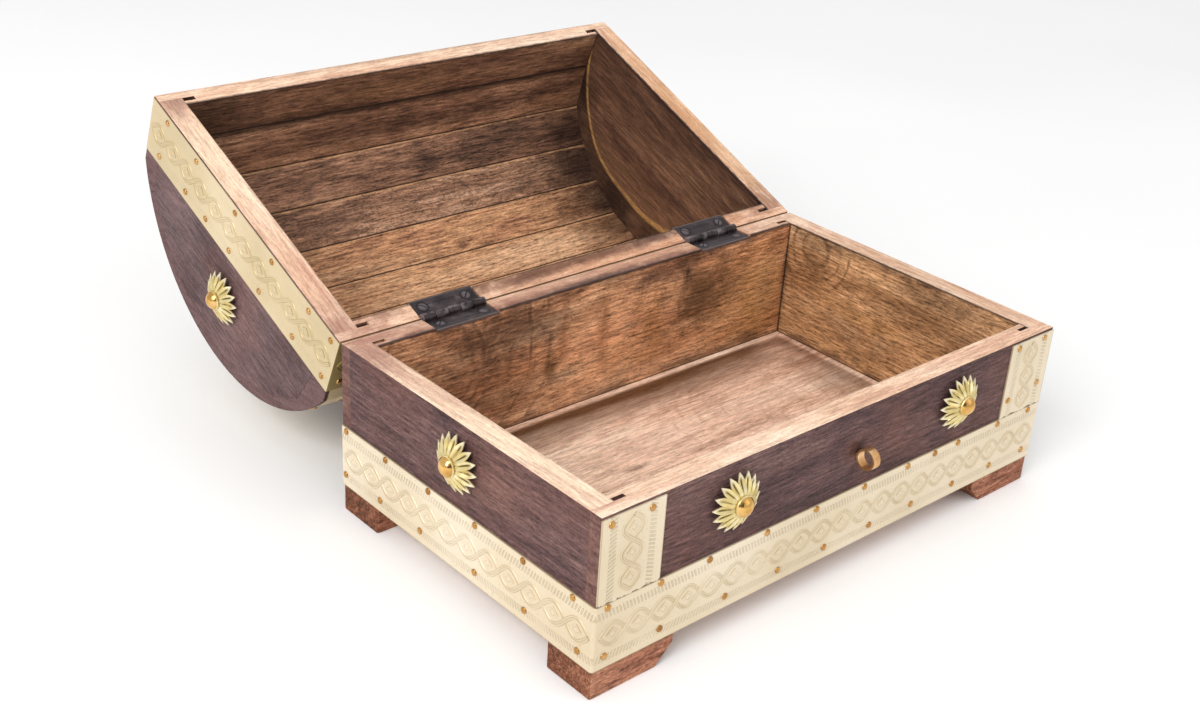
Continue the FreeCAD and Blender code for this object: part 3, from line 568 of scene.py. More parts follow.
# Shades of the brass sheet, from deep to pale, on the base and on the lid
SHEET_SHADES = {False: ("#DAC9AB", "#E4D4B8", "#ECDEC6"), True: ("#CCB890", "#D8C49E", "#E2D0AE")}
# A deeper, greener gold for the back faces, which is painted shade
SHADE_OLIVE = "#8A7420"
# How strongly the strokes are pressed, on the base and on the lid
STROKES = {False: 0.75, True: 0.15}


def bare_sheet(name, lid):
    """Pale brass sheet as yet without marks, and the tint that its colour goes by."""
    brass = Surface(name, roughness=0.45, metallic=0.4, specular=0.4, lid=lid)
    tint = brass.mottle(18, 3)
    brass.shade(tint, (0.3, 0.5, 0.7), SHEET_SHADES[lid])
    return brass, tint


def sheet_brass(name, axis, middle, half, lid=False, arc=False, across=2, torn=False, back_shade=0.0):
    """Beaten sheet: axis is the way that its strokes run, middle and half its place and half width across."""
    brass, tint = bare_sheet(name, lid)
    parts = brass.split(brass.own_place)
    along = parts[axis]
    if arc:
        along = brass.math("ARCTAN2", parts[1] - LID_MIDDLE, parts[2] - DOME_LEVEL) * DOME_RADIUS
    off_middle = parts[across] - middle
    height, lines = brass.use(BEATING, u=along, v=off_middle, vector=brass.place, strokes=STROKES[lid])
    # The pressed strokes are darker: painted shade in them
    brass.stain(lines, 0.3, "#BCA46E")
    # Painted shade on the back faces, deepest in the strokes
    brass.stain(lines * 0.3 + 0.65, back_shade, SHADE_OLIVE)
    brass.stain(brass.mottle(900, 1).fade(0.64, 0.74), 0.35, "#B8A26A")
    # A thin painted shadow along the sheet's edges, where it meets the wood
    brass.stain((half - abs(off_middle)).below(0.15 * MM, 0.6 * MM), 0.45, "#8A7446")
    if torn:
        teeth = brass.mottle(330) * (4.2 * MM) - 1.7 * MM
        gap = (parts[2] - BAND_HIGH.z - teeth).below(-0.1 * MM, 0.25 * MM)
        brass.stain(gap, 0.85, "#4A3A20")
    brass.feed(brass.shader["Roughness"], tint.fade(0.3, 0.7, 0.4, 0.52))
    return brass.finish(height, 0.7 * MM)


def chain_brass(name, lid):
    """Raised chains on the sheet: painted shade in their low places, and greener gold on the back as painted
    shade.
    """
    brass = bare_sheet(name, lid)[0]
    # Painted shade, darker the lower a point of the chain lies
    hollow_shade = brass.put("ShaderNodeAttribute", output="Fac", attribute_name="hollow_shade")
    hollow_shade = hollow_shade * brass.mottle(45).fade(0.25, 0.6, 0.4, 1.0)
    brass.stain(hollow_shade, 0.62, "#A08850")
    # Painted shade in a deeper, greener gold on the back faces
    back_face = LID_BACK if lid else HALF_DEPTH
    behind = brass.split(brass.own_place)[1].fade(back_face - 0.5 * MM, back_face)
    brass.stain(behind, hollow_shade * 0.4 + 0.6, SHADE_OLIVE)
    return brass.finish(brass.mottle(160), 0.2 * MM)


def bright_brass(name, shades, roughness, metallic=0.85):
    """Pressed or turned brass with patchy tarnish and fine scratches."""
    brass = Surface(name, roughness, metallic)
    patch = brass.mottle(160, 3)
    brass.shade(patch, (0.25, 0.5, 0.75), shades)
    scratches = brass.noise(brass.moved(brass.place, scale=(300, 1900, 900)))
    brass.feed(brass.shader["Roughness"], patch.fade(0.2, 0.8, roughness + 0.12, roughness - 0.06))
    return brass.finish(scratches, 0.03 * MM)


# Where the hinges are, from the hinge axis
HINGE_MIDDLE = 87 * MM
LEAF_HALF = 18.5 * MM
LEAF_WIDTH = 12.2 * MM
SCREW_SPREAD = 12.75 * MM
SCREW_INSET = 7.35 * MM
SCREW_HEAD = 2.6 * MM
SCREW_SLOT = 0.32 * MM


def black_iron(name, lid):
    """Blackened hinge steel, rubbed at its edges; painted highlights on barrel and screw heads, painted shade
    round them and in slots.
    """
    iron = Surface(name, roughness=0.42, metallic=0.6, specular=0.5, lid=lid)
    patch = iron.mottle(120, 4, 0.6)
    iron.shade(patch, (0.3, 0.5, 0.66, 0.85), ("#2A2224", "#3C3235", "#54494B", "#7C6E6C"))
    x, y = iron.split(iron.own_place if lid else iron.moved(iron.place, shift=-HINGE))[:2]
    along = abs(abs(x) - HINGE_MIDDLE)
    to_edge = iron.math("MINIMUM", LEAF_HALF - along, y + LEAF_WIDTH)
    iron.stain((patch * (0.8 * MM) + to_edge).below(0.5 * MM, 1.2 * MM), 0.6, "#8E8280")
    # A highlight painted along the barrel, where it is also rubbed
    barrel = y.fade(-1.4 * MM, -0.4 * MM)
    iron.stain(barrel * patch.fade(0.4, 0.6), 0.6, "#9A8E90")
    across, up = along - SCREW_SPREAD, y + SCREW_INSET
    radius = iron.length(across, up)
    # A painted shadow round each screw head
    iron.stain(radius.within(SCREW_HEAD, SCREW_HEAD + 0.7 * MM, 0.2 * MM), 0.85, "#1C181C")
    # The screw heads are lighter: rubbed, and a painted highlight
    iron.stain(radius.below(0.6 * SCREW_HEAD, SCREW_HEAD), 0.55, "#80767A")
    # Painted shade in each head's slot, which the relief also presses in
    slot = abs(across + up).below(SCREW_SLOT, 1.6 * SCREW_SLOT)
    slot = slot * radius.below(0.8 * SCREW_HEAD, 0.9 * SCREW_HEAD)
    iron.stain(slot, 0.9, "#17131A")
    iron.feed(iron.shader["Roughness"], patch.fade(0.3, 0.8, 0.34, 0.55))
    return iron.finish(iron.mottle(1400) - slot * 8, 0.05 * MM)


# Dressing the solids

def soften(name, width):
    """Round the edges of a solid a little."""
    weld = NODES[name].modifiers.new("joined_faces", "WELD")
    weld.merge_threshold = 0.002 * MM
    bevel = NODES[name].modifiers.new("worn_edges", "BEVEL")
    bevel.width = width
    bevel.segments = 2
    bevel.limit_method = "ANGLE"
    bevel.angle_limit = math.radians(40)
    bevel.harden_normals = True


def dress(name, choose, *materials):
    """Give each face of a solid one of these materials: choose gets the face's middle and normal."""
    mesh = NODES[name].data
    mesh.materials.clear()
    for material in materials:
        mesh.materials.append(material)
    for face in mesh.polygons:
        face.material_index = choose(face.center, face.normal)


def plain(name, material):
    dress(name, lambda middle, normal: 0, material)


OUTSIDE, RIM_FACE, INSIDE, SAWN = range(4)


def board_face(out, lid=False):
    """Which side of a board a face is on; out points out of the shut chest."""
    def choose(middle, normal):
        if lid:
            facing = SHUTTING @ normal
            on_rim = facing.z < -SQUARELY and shut(middle).z < LID_RIM + MM
        else:
            facing = normal
            on_rim = facing.z > SQUARELY and middle.z > RIM - MM
        if on_rim:
            return RIM_FACE
        if facing.dot(out) < -SQUARELY:
            return INSIDE
        sawn = out.y != 0 and abs(facing.x) > SQUARELY and abs(middle.x) > HALF_WIDTH - MM
        return SAWN if sawn else OUTSIDE
    return choose


# Marks: middle and reach along two axes in millimetres, strength and colour
# Rings: centre, least and greatest radius and pitch in millimetres
BACK_WALL_MARKS = [
    (-98, 56, 62, 44, 0.5, "#5E4232"), (5, 52, 60, 44, 0.4, "#EBB188"), (112, 46, 50, 44, 0.45, "#9C763E"),
    (-55, 74, 60, 24, 0.75, "#3E2A22"), (-85, 46, 60, 30, 0.35, "#704A32"), (-34, 46, 7, 11, 0.8, "#5C3C18"),
    (-15, 60, 12, 36, 0.45, "#E2AA80"), (-27, 66, 5, 22, 0.4, "#8A5836"), (12, 57, 10, 34, 0.45, "#E0A87E"),
    (0, 58, 5, 28, 0.45, "#945E38"), (24, 56, 5, 30, 0.35, "#9A6436"), (36, 52, 9, 32, 0.5, "#8A5A24"),
    (44, 40, 26, 20, 0.35, "#A06A3C"), (71, 62, 40, 28, 0.85, "#4A321C"), (106, 46, 34, 34, 0.45, "#C8966A"),
    (45, 82, 52, 9, 0.75, "#4A3028"), (72, 79, 14, 4, 0.6, "#D09468"), (59, 78, 3.5, 7, 0.9, "#2A1A14"),
    (118, 50, 18, 34, 0.4, "#A8803F"), (20, 57, 9, 4, 0.5, "#6E6050"), (-25, 41, 14, 5, 0.5, "#6E5C48"),
    (-64, 38, 40, 22, 0.45, "#7A5236"), (14, 42, 30, 14, 0.35, "#A06C40"), (-4, 74, 30, 12, 0.3, "#8A5C3A"),
    (122, 54, 16, 26, 0.45, "#D8A87C"), (15, 30, 9, 4, 0.4, "#6A5A48"), (10, 25, 110, 8, 0.4, "#DCB08C")]
BACK_WALL_RINGS = [((-107, 66), 22, 40, 6), ((-107, 66), 55, 80, 12)]
END_WALL_MARKS = [
    (60, 56, 40, 40, 0.35, "#8A6040"), (-20, 68, 60, 16, 0.5, "#5A3C26"), (45, 30, 50, 9, 0.3, "#CC9C6A"),
    (10, 38, 70, 16, 0.55, "#8A5E3A"), (58, 76, 14, 16, 0.6, "#5E4026"), (-30, 82, 40, 8, 0.55, "#4E3422"),
    (20, 52, 40, 8, 0.4, "#C8965E")]
END_WALL_RINGS = [((58, 80), 6, 26, 8)]
RAIL_MARKS = [(-123, 12, 40, 16, 0.7, "#2E1F1A"), (-20, 14, 50, 7, 0.35, "#8E6A48")]
FRONT_RIM_MARKS = [(-105, -84, 70, 14, 0.5, "#E2B090")]
BACK_RIM_MARKS = [
    (0, 84, 220, 16, 0.65, "#B07A60"), (-10, 79.5, 110, 6, 0.85, "#4A3430"), (-54, 83, 36, 6, 0.5, "#A06A58"),
    (40, 82, 40, 4, 0.5, "#8A5A4C"), (-132, 85, 30, 14, 0.7, "#B08070"), (-118, 80, 24, 3, 0.6, "#5A3E36")]
END_RIM_MARKS = [
    (-144, -20, 14, 120, 0.5, "#FFE4C6"), (-144, 74, 16, 30, 0.75, "#A87A6C"),
    (144, 0, 16, 130, 0.55, "#C08E6C")]
LID_BACK_RIM_MARKS = [
    (0, -5, 220, 16, 0.6, "#CC8C66"), (0, -8.5, 110, 6, 0.8, "#5A3828"), (-45, -6.5, 34, 5, 0.5, "#6A463C"),
    (55, -9, 26, 5, 0.6, "#4A322E"), (-122, -9, 14, 5, 0.65, "#7A5244"), (132, -7, 16, 5, 0.5, "#8A6252"),
    (-138, -4, 22, 14, 0.7, "#B07E6C")]
LID_END_RIM_MARKS = [
    (-144, -140, 14, 70, 0.6, "#FFE2C4"), (-144, -30, 14, 50, 0.55, "#CC987C"),
    (-144, -4, 16, 22, 0.75, "#A87868"), (-144, -176, 16, 18, 0.7, "#9A6E62"),
    (144, -90, 16, 130, 0.6, "#C8925F"), (144, -10, 16, 24, 0.6, "#8A5C48")]


def dress_base_boards():
    sawn = end_grain("sawn_ends", "#4A3230", "#70504A", "#8E6C5E")
    staple_low, staple_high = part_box("staple")
    staple = (staple_low + staple_high) / (2 * MM)
    # A reddish stain above the staple, and its painted shadow on the wood beside it
    staple_stain_and_shadow = [(staple.x - 5, staple.z + 5, 10, 6, 0.6, "#6A463A"),
            (staple.x - 2, staple.z + 3, 6, 5, 0.7, "#35221F")]
    panel = ((0, 2), (0, WALL_MIDDLE), (INSIDE_HALF_WIDTH, WALL_HALF))
    inner_edge = (1, INSIDE_HALF_DEPTH, 0)
    dress("base_front_board", board_face(FRONTWARD),
          stained_wood("stain_front", "x", 1.3, marks=staple_stain_and_shadow),
          rim_wood("rim_front", "x", 1.3, inner_edge, (0.25, 0.8 * MM), marks=FRONT_RIM_MARKS),
          inside_wood("inside_front", "x", 1.3, panel, GOLD_BROWN, 9 * MM, 0.5), sawn)
    dress("base_back_board", board_face(BACKWARD),
          stained_wood("stain_back", "x", 2.3, painted_gap_light=0.8),
          rim_wood("rim_back", "x", 2.3, inner_edge, (0.95, 2.2 * MM), marks=BACK_RIM_MARKS),
          inside_wood("inside_back", "x", 2.3, panel, ORANGE_BROWN, 6 * MM, 0.35, marks=BACK_WALL_MARKS,
                      rings=BACK_WALL_RINGS), sawn)
    panel = ((1, 2), (0, WALL_MIDDLE), (INSIDE_HALF_DEPTH, WALL_HALF))
    inner_edge = (0, INSIDE_HALF_WIDTH, 0)
    for side, seed, edge_darkening in (("left", 3.6, (0.3, 0.8 * MM)), ("right", 4.6, (0.75, 1.3 * MM))):
        dress(f"base_{side}_board", board_face(Vector((SIDES[side], 0, 0))),
              stained_wood(f"stain_{side}", "y", seed, warm=0.12),
              rim_wood(f"rim_{side}", "y", seed, inner_edge, edge_darkening, marks=END_RIM_MARKS),
              inside_wood(f"inside_{side}", "y", seed, panel, GOLD_BROWN, 7 * MM, 0.4, marks=END_WALL_MARKS,
                          rings=END_WALL_RINGS), sawn)
    plain("base_floor_panel", floor_wood())
    for name in ("front", "back", "left", "right"):
        soften(f"base_{name}_board", 0.5 * MM)


def dress_feet():
    long_side = foot_wood("foot_wood", "#64402F", "#945F4A", "#AC765C", "#C69A7E")
    # The faces across the grain are darker: end grain, and painted shade as well
    shaded_end_grain = foot_wood("foot_ends", "#4A2D20", "#774A35", "#905C44", "#A87A5E")
    for row in ("front", "back"):
        for side in SIDES:
            foot = f"foot_{row}_{side}"
            dress(foot, lambda middle, normal: int(abs(normal.x) > SQUARELY), long_side, shaded_end_grain)
            soften(foot, 0.8 * MM)


def dress_lid_boards():
    sawn = end_grain("lid_sawn_ends", "#4E3836", "#785A54", "#96766A")
    panel = ((0, 2), (0, LID_RIM + RAIL_HEIGHT / 2), (LID_INSIDE_HALF_WIDTH, RAIL_HEIGHT / 2))
    inner_edge = (1, LID_INSIDE_HALF_DEPTH, LID_MIDDLE)
    rails = (("front", 6.1, FRONTWARD, (0.8, 1.2 * MM), (), 0.0),
             ("back", 7.1, BACKWARD, (0.6, 1.2 * MM), LID_BACK_RIM_MARKS, 0.8))
    for side, seed, out, edge_darkening, marks, painted_gap_light in rails:
        dress(f"lid_{side}_rail", board_face(out, lid=True),
              stained_wood(f"lid_stain_{side}", "x", seed, lid=True, painted_gap_light=painted_gap_light),
              rim_wood(f"lid_rim_{side}", "x", seed, inner_edge, edge_darkening, lid=True, marks=marks),
              inside_wood(f"lid_inside_{side}", "x", seed, panel, DARK_BROWN, 4 * MM, 0.25, lid=True,
                          marks=RAIL_MARKS), sawn)
        soften(f"lid_{side}_rail", 0.5 * MM)
    inner_edge = (0, LID_INSIDE_HALF_WIDTH, 0)
    for side, seed, edge_darkening in (("left", 8.2, (0.3, 0.7 * MM)), ("right", 9.2, (0.95, 1.8 * MM))):
        dress(f"lid_{side}_end", board_face(Vector((SIDES[side], 0, 0)), lid=True),
              stained_wood(f"lid_stain_{side}", "y", seed, lid=True, warm=0.1, faded=0.3),
              rim_wood(f"lid_rim_{side}", "y", seed, inner_edge, edge_darkening, lid=True, marks=LID_END_RIM_MARKS),
              lid_end_inside(f"lid_inside_{side}", seed), sawn)
        soften(f"lid_{side}_end", 0.4 * MM)


STAVE_OUTSIDE, STAVE_INSIDE, STAVE_END = range(3)


def stave_face(middle, normal):
    """Which side of a stave a face is on."""
    if abs(normal.x) > SQUARELY:
        return STAVE_END
    away = shut(middle) - Vector((0, LID_MIDDLE, DOME_LEVEL))
    away.x = 0
    return STAVE_INSIDE if (SHUTTING @ normal).dot(away) < 0 else STAVE_OUTSIDE


def dress_staves():
    sawn = end_grain("stave_ends", "#4C3838", "#6A5150", "#7C6261")
    for number in range(1, STAVES + 1):
        outside = stained_wood(f"stave_{number}_outside", "x", 20.0 + number, lid=True)
        dress(f"lid_stave_{number}", stave_face, outside, stave_inside(number), sawn)
        soften(f"lid_stave_{number}", 0.3 * MM)


BAND_LONG, BAND_END, BAND_BACK = range(3)


def band_face(lid):
    """Which side of a band a face is on."""
    def choose(middle, normal):
        facing = SHUTTING @ normal if lid else normal
        if abs(facing.x) > SQUARELY:
            return BAND_END
        return BAND_BACK if facing.y > SQUARELY else BAND_LONG
    return choose


def dress_brass_sheet():
    bands = (("base_band", BAND_MIDDLE, BAND_HALF, False), ("lid_band", LID_BAND_MIDDLE, LID_BAND_HALF, True))
    for name, middle, half, lid in bands:
        dress(name, band_face(lid), sheet_brass(f"{name}_long", 0, middle, half, lid),
              sheet_brass(f"{name}_short", 1, middle, half, lid),
              # The back faces are in painted shade
              sheet_brass(f"{name}_back", 0, middle, half, lid, back_shade=1.0))
    for side in SIDES:
        middle, half = across_box(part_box(f"front_plate_{side}"))
        plain(f"front_plate_{side}", sheet_brass(f"plate_{side}", 2, middle, half, across=0, torn=True))
        middle, half = across_box(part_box(f"lid_strap_{side}"))
        strap_brass = sheet_brass(f"strap_{side}", 2, middle, half, lid=True, arc=True, across=0)
        plain(f"lid_strap_{side}", strap_brass)


def dress_fittings():
    nail = bright_brass("nail_brass", ("#B88848", "#DCAC60", "#F0C888"), 0.16, 0.95)
    strip = bright_brass("staple_brass", ("#B07A4C", "#D6A46C", "#ECC494"), 0.3)
    sheet = bright_brass("hasp_brass", ("#B8A060", "#DCC88C", "#ECDCAC"), 0.34)
    iron = {lid: black_iron("lid_iron" if lid else "base_iron", lid) for lid in (False, True)}
    for body in ("base", "lid"):
        plain(f"{body}_rosette_nails", nail)
    plain("staple", strip)
    for name in ("hasp_plate", "hasp_leaf", "hasp_pin"):
        plain(name, sheet)
    for name in NODES:
        if name.startswith("hinge"):
            plain(name, iron["lid" in name])
    for side in SIDES:
        for body in ("base", "lid"):
            soften(f"hinge_{side}_{body}_leaf", 0.2 * MM)


# Modelling new pieces

def deselect_all():
    bpy.ops.object.select_all(action="DESELECT")


def pick_points(piece, chosen):
    """Select the points of a piece that a test picks, and leave it in edit mode."""
    bpy.ops.object.mode_set(mode="EDIT")
    bpy.context.tool_settings.mesh_select_mode = (True, False, False)
    bpy.ops.mesh.select_all(action="DESELECT")
    bpy.ops.object.mode_set(mode="OBJECT")
    for vertex in piece.data.vertices:
        vertex.select = chosen(vertex)
    bpy.ops.object.mode_set(mode="EDIT")


def shaped_grid(columns, rows, place, thickness):
    """A sheet of some thickness from a grid, whose points go to where place puts each column and row."""
    deselect_all()
    bpy.ops.mesh.primitive_grid_add(x_subdivisions=columns - 1, y_subdivisions=rows - 1, size=2 * MM,
                                    location=(0, 0, 0))
    piece = bpy.context.object
    for number in range(columns * rows):
        move = place(number % columns, number // columns) - piece.data.vertices[number].co
        pick_points(piece, lambda vertex: vertex.index == number)
        bpy.ops.transform.translate(value=move)
        bpy.ops.object.mode_set(mode="OBJECT")
    sheet = piece.modifiers.new("sheet", "SOLIDIFY")
    sheet.thickness = thickness
    sheet.offset = -1
    bpy.ops.object.modifier_apply(modifier="sheet")
    return piece


def stepped_column(corners, radius, low, high, steps):
    """An upright column from one level to another, whose top goes on by steps of rise and spread."""
    deselect_all()
    middle = (low + high) / 2
    bpy.ops.mesh.primitive_cylinder_add(vertices=corners, radius=radius, depth=high - low,
                                        location=(0, 0, middle))
    column = bpy.context.object
    bpy.ops.object.transform_apply(location=True)
    pick_points(column, lambda vertex: vertex.co.z > middle)
    for rise, spread in steps:
        bpy.ops.mesh.extrude_region_move(TRANSFORM_OT_translate={"value": (0, 0, rise)})
        bpy.ops.transform.resize(value=(spread, spread, 1), center_override=(0, 0, 0))
    bpy.ops.object.mode_set(mode="OBJECT")
    return column


def join_pieces(pieces, name):
    deselect_all()
    for piece in pieces:
        piece.select_set(True)
    bpy.context.view_layer.objects.active = pieces[0]
    bpy.ops.object.join()
    joined = bpy.context.object
    joined.name = name
    return joined


def copy_of(piece, move):
    """A copy with a mesh of its own, moved or turned in its mesh."""
    copy = bpy.data.objects.new(piece.name, piece.data.copy())
    bpy.context.scene.collection.objects.link(copy)
    copy.data.transform(move)
    return copy


def looking(out):
    """The turn that makes a piece which looks up look out."""
    return out.to_track_quat("Z", "X").to_matrix()


def set_copy(piece, spot, out):
    """A copy that stands on a spot and looks out."""
    return copy_of(piece, Matrix.Translation(spot) @ looking(out).to_4x4())


# Sunflower rosettes

PETALS = 16
PETAL_SHEET = 0.45 * MM
HUB_RADIUS, HUB_FOOT, HUB_TOP = 5.2 * MM, 6.3 * MM, 7.2 * MM
HUB_EDGE = 0.4 * MM
NECK_RADIUS = 3 * MM
HUB_STEPS = ((0, HUB_RADIUS / NECK_RADIUS), (HUB_TOP - HUB_FOOT, 1))
# Along a petal in millimetres: distance from the nail, half width, level above the wood, depth of its channel
PETAL_PROFILE = ((3.4, 0.68, 6.5, 0.0), (5.8, 1.15, 6.0, 0.6), (8.0, 1.58, 5.2, 1.1), (9.8, 1.9, 4.3, 1.1),
                 (11.3, 1.65, 3.4, 0.7), (12.8, 0.95, 2.6, 0.2), (14.2, 0.1, 1.8, -0.2))
CHANNEL = (0.0, 0.45, 1.0, 0.45, 0.0)


def model_petal():
    """One petal along X: a channelled leaf that slopes down from the hub."""
    def place(column, row):
        along, half_width, level, depth = PETAL_PROFILE[column]
        side = 2 * row / (len(CHANNEL) - 1) - 1
        return Vector((along, side * half_width, level - depth * CHANNEL[row])) * MM
    return shaped_grid(len(PETAL_PROFILE), len(CHANNEL), place, PETAL_SHEET)


def model_hub():
    """The raised middle of a rosette on its hidden neck, with a rounded upper edge."""
    hub = stepped_column(corners=32, radius=NECK_RADIUS, low=0, high=HUB_FOOT, steps=HUB_STEPS)
    edges = hub.modifiers.new("rounded", "BEVEL")
    edges.width = HUB_EDGE
    edges.segments = 2
    bpy.ops.object.modifier_apply(modifier="rounded")
    return hub


def model_rosette():
    """Petals round a hub; its own zero is the wood's face, and it looks up."""
    petal = model_petal()
    turns = [Matrix.Rotation(2 * math.pi * number / PETALS, 4, "Z") for number in range(PETALS)]
    petals = [copy_of(petal, turn) for turn in turns]
    bpy.data.objects.remove(petal)
    rosette = join_pieces([model_hub(), *petals], "rosette")
    bpy.ops.object.shade_smooth_by_angle(angle=math.radians(35))
    return rosette


def rosette_brass(name, middle, out):
    """Pressed cream brass: a painted highlight near the petal tips, painted shade in the channels; middle and
    out place it.
    """
    brass = Surface(name, roughness=0.26, metallic=0.75)
    turned = looking(out).transposed()
    x, y = brass.split(brass.moved(brass.place, shift=-(turned @ middle), turn=turned.to_euler()))[:2]
    radius = brass.length(x, y)
    wave = brass.math("SINE", brass.math("ARCTAN2", y, x) * (PETALS / 2))
    channel = abs(wave).below(0.2, 0.5) * radius.within(6.3 * MM, 11.6 * MM, 1.2 * MM)
    patch = brass.mottle(200, 3)
    brass.shade(patch, (0.25, 0.5, 0.75), ("#C8B070", "#E2CE90", "#F4E8BE"))
    # A painted highlight towards the petal tips
    brass.stain(radius.fade(10 * MM, 13.5 * MM), 0.5, "#FAF4E0")
    # Painted shade in the channels
    brass.stain(channel * patch.fade(0.25, 0.5), 0.92, "#5E4C1C")
    brass.feed(brass.shader["Roughness"], patch.fade(0.2, 0.8, 0.38, 0.22))
    return brass.finish()


def make_rosettes():
    """Six rosettes, each in place of its solid."""
    rosette = model_rosette()
    for spot, body in (("front", "base"), ("base", "base"), ("lid", "lid")):
        for side, way in SIDES.items():
            node = f"rosette_{spot}_{side}"
            low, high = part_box(node)
            middle = (low + high) / 2
            if spot == "front":
                out = FRONTWARD
                middle.y = high.y
            else:
                out = Vector((way, 0, 0))
                middle.x = low.x if way > 0 else high.x
            piece = set_copy(rosette, middle, out)
            piece.name = f"{node}_petals"
            piece.data.materials.append(rosette_brass(f"{node}_brass", middle, out))
            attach(piece, body)
            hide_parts(node)
    bpy.data.objects.remove(rosette)


# Small brass pins along the edges of the sheet

PIN_RADIUS = 1.65 * MM
PIN_SIDE = 0.35 * MM
PIN_STEPS = ((0.28 * MM, 0.8), (0.2 * MM, 0.55))
# Rows of pins in millimetres: along the front from its left, along the left end from its front, and heights
FRONT_TOP_ROW = (6, 35, 63, 98, 130, 163, 194.5, 215, 233, 265, 291)
FRONT_LOW_ROW = (5.6, 36.4, 75, 108.3, 139, 170.8, 202, 234, 264.5, 292)
END_TOP_ROW = (13, 45, 78, 112, 145, 177)
END_LOW_ROW = (8.6, 43, 77.5, 118, 149.5, 178)
BAND_ROW_HEIGHTS = (30, 6.2)
PLATE_PINS = ((5, 69.5), (26.5, 69.5), (272, 70), (292.7, 70.5), (294, 45), (270.4, 41.6))
# The rows of the lid's ends start at its back
LID_END_HIGH_ROW = (6, 33, 65, 95, 119, 140, 168)
LID_END_RIM_ROW = (6, 26, 60.5, 96, 135, 165)
LID_ROW_HEIGHTS = (29, 5)
STRAP_PIN_INSET = 4 * MM
STRAP_PIN_ANGLES = (-52, -26, 0, 26, 52)


def base_pin_places():
    """Where pins go on the base band and the front plates, each with the way that it faces."""
    places = []
    for row, height in zip((FRONT_TOP_ROW, FRONT_LOW_ROW), BAND_ROW_HEIGHTS):
        for along in row:
            x, z = along * MM - HALF_WIDTH, BAND_LOW.z + height * MM
            places += [(Vector((x, BAND_LOW.y, z)), FRONTWARD), (Vector((x, BAND_HIGH.y, z)), BACKWARD)]
    for row, height in zip((END_TOP_ROW, END_LOW_ROW), BAND_ROW_HEIGHTS):
        for along in row:
            y, z = along * MM - HALF_DEPTH, BAND_LOW.z + height * MM
            for x, way in ((BAND_LOW.x, -1), (BAND_HIGH.x, 1)):
                places.append((Vector((x, y, z)), Vector((way, 0, 0))))
    for along, height in PLATE_PINS:
        spot = Vector((along * MM - HALF_WIDTH, BAND_LOW.y, BAND_LOW.z + height * MM))
        places.append((spot, FRONTWARD))
    return places


def lid_pin_places():
    """The same for the lid band and its straps; the front has no pins under the hasp's plate."""
    places = []
    side_face, back_face = HALF_WIDTH + LID_BAND_FACE, LID_BACK + LID_BAND_FACE
    front_face = LID_BACK - 2 * HALF_DEPTH - LID_BAND_FACE
    for row, height in zip((LID_END_HIGH_ROW, LID_END_RIM_ROW), LID_ROW_HEIGHTS):
        for along in row:
            for way in SIDES.values():
                spot = Vector((way * side_face, LID_BACK - along * MM, LID_RIM + height * MM))
                places.append((spot, Vector((way, 0, 0))))
    hasp_low, hasp_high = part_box("hasp_plate")
    for row, height in zip((FRONT_TOP_ROW, FRONT_LOW_ROW), LID_ROW_HEIGHTS):
        for along in row:
            x, z = along * MM - HALF_WIDTH, LID_RIM + height * MM
            places.append((Vector((x, back_face, z)), BACKWARD))
            if not hasp_low.x - 2 * PIN_RADIUS < x < hasp_high.x + 2 * PIN_RADIUS:
                places.append((Vector((x, front_face, z)), FRONTWARD))
    for side in SIDES:
        low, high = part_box(f"lid_strap_{side}")
        for angle in STRAP_PIN_ANGLES:
            out = Vector((0, -math.sin(math.radians(angle)), math.cos(math.radians(angle))))
            for x in (low.x + STRAP_PIN_INSET, high.x - STRAP_PIN_INSET):
                spot = Vector((x, LID_MIDDLE, DOME_LEVEL)) + out * (DOME_RADIUS + LID_BAND_FACE)
                places.append((spot, out))
    return [(opened(spot), OPENING @ out) for spot, out in places]


def make_pins():
    brass = bright_brass("pin_brass", ("#98683E", "#C08E4E", "#DCB478"), 0.22, 0.95)
    pin = stepped_column(corners=12, radius=PIN_RADIUS, low=-PIN_SIDE, high=PIN_SIDE, steps=PIN_STEPS)
    bpy.ops.object.shade_smooth_by_angle(angle=math.radians(50))
    for body, places in (("base", base_pin_places()), ("lid", lid_pin_places())):
        piece = join_pieces([set_copy(pin, spot, out) for spot, out in places], f"{body}_band_pins")
        piece.data.materials.append(brass)
        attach(piece, body)
    bpy.data.objects.remove(pin)


# Raised chains on the brass sheet

LINK = 14.3 * MM
SWING = 5.3 * MM
RIBBON_STEPS = 8
# Across a ribbon in millimetres: place from its middle line and level above the sheet
RIBBON_SECTION = ((-1.2, -0.12), (-0.8, 0.4), (0.0, 0.05), (0.8, 0.4), (1.2, -0.12))
RIBBON_SHEET = 0.2 * MM
OVER_UNDER = 0.1 * MM
RELIEF = 0.4 * MM
LOZENGE_RADIUS = 2.8 * MM
LOZENGE_STRETCH = 1.18
LOZENGE_STEPS = ((0.0, 0.72), (-0.22 * MM, 0.85), (0.22 * MM, 0.75))
CHAIN_MARGIN = 2.5 * MM
STRAP_LINKS = 15
STRAP_LIFT = 0.13 * MM


def model_ribbon():
    """Half a wave of one ribbon: a grooved band, over its twin at one end and under it at the other."""
    def place(column, row):
        phase = math.pi * column / RIBBON_STEPS
        tilt = math.atan(SWING * math.pi / LINK * math.cos(phase))
        across, level = (size * MM for size in RIBBON_SECTION[row])
        x = LINK * (phase / math.pi - 0.5) - math.sin(tilt) * across
        y = SWING * math.sin(phase) + math.cos(tilt) * across
        return Vector((x, y, level + OVER_UNDER * math.cos(phase)))
    return shaped_grid(RIBBON_STEPS + 1, len(RIBBON_SECTION), place, RIBBON_SHEET)


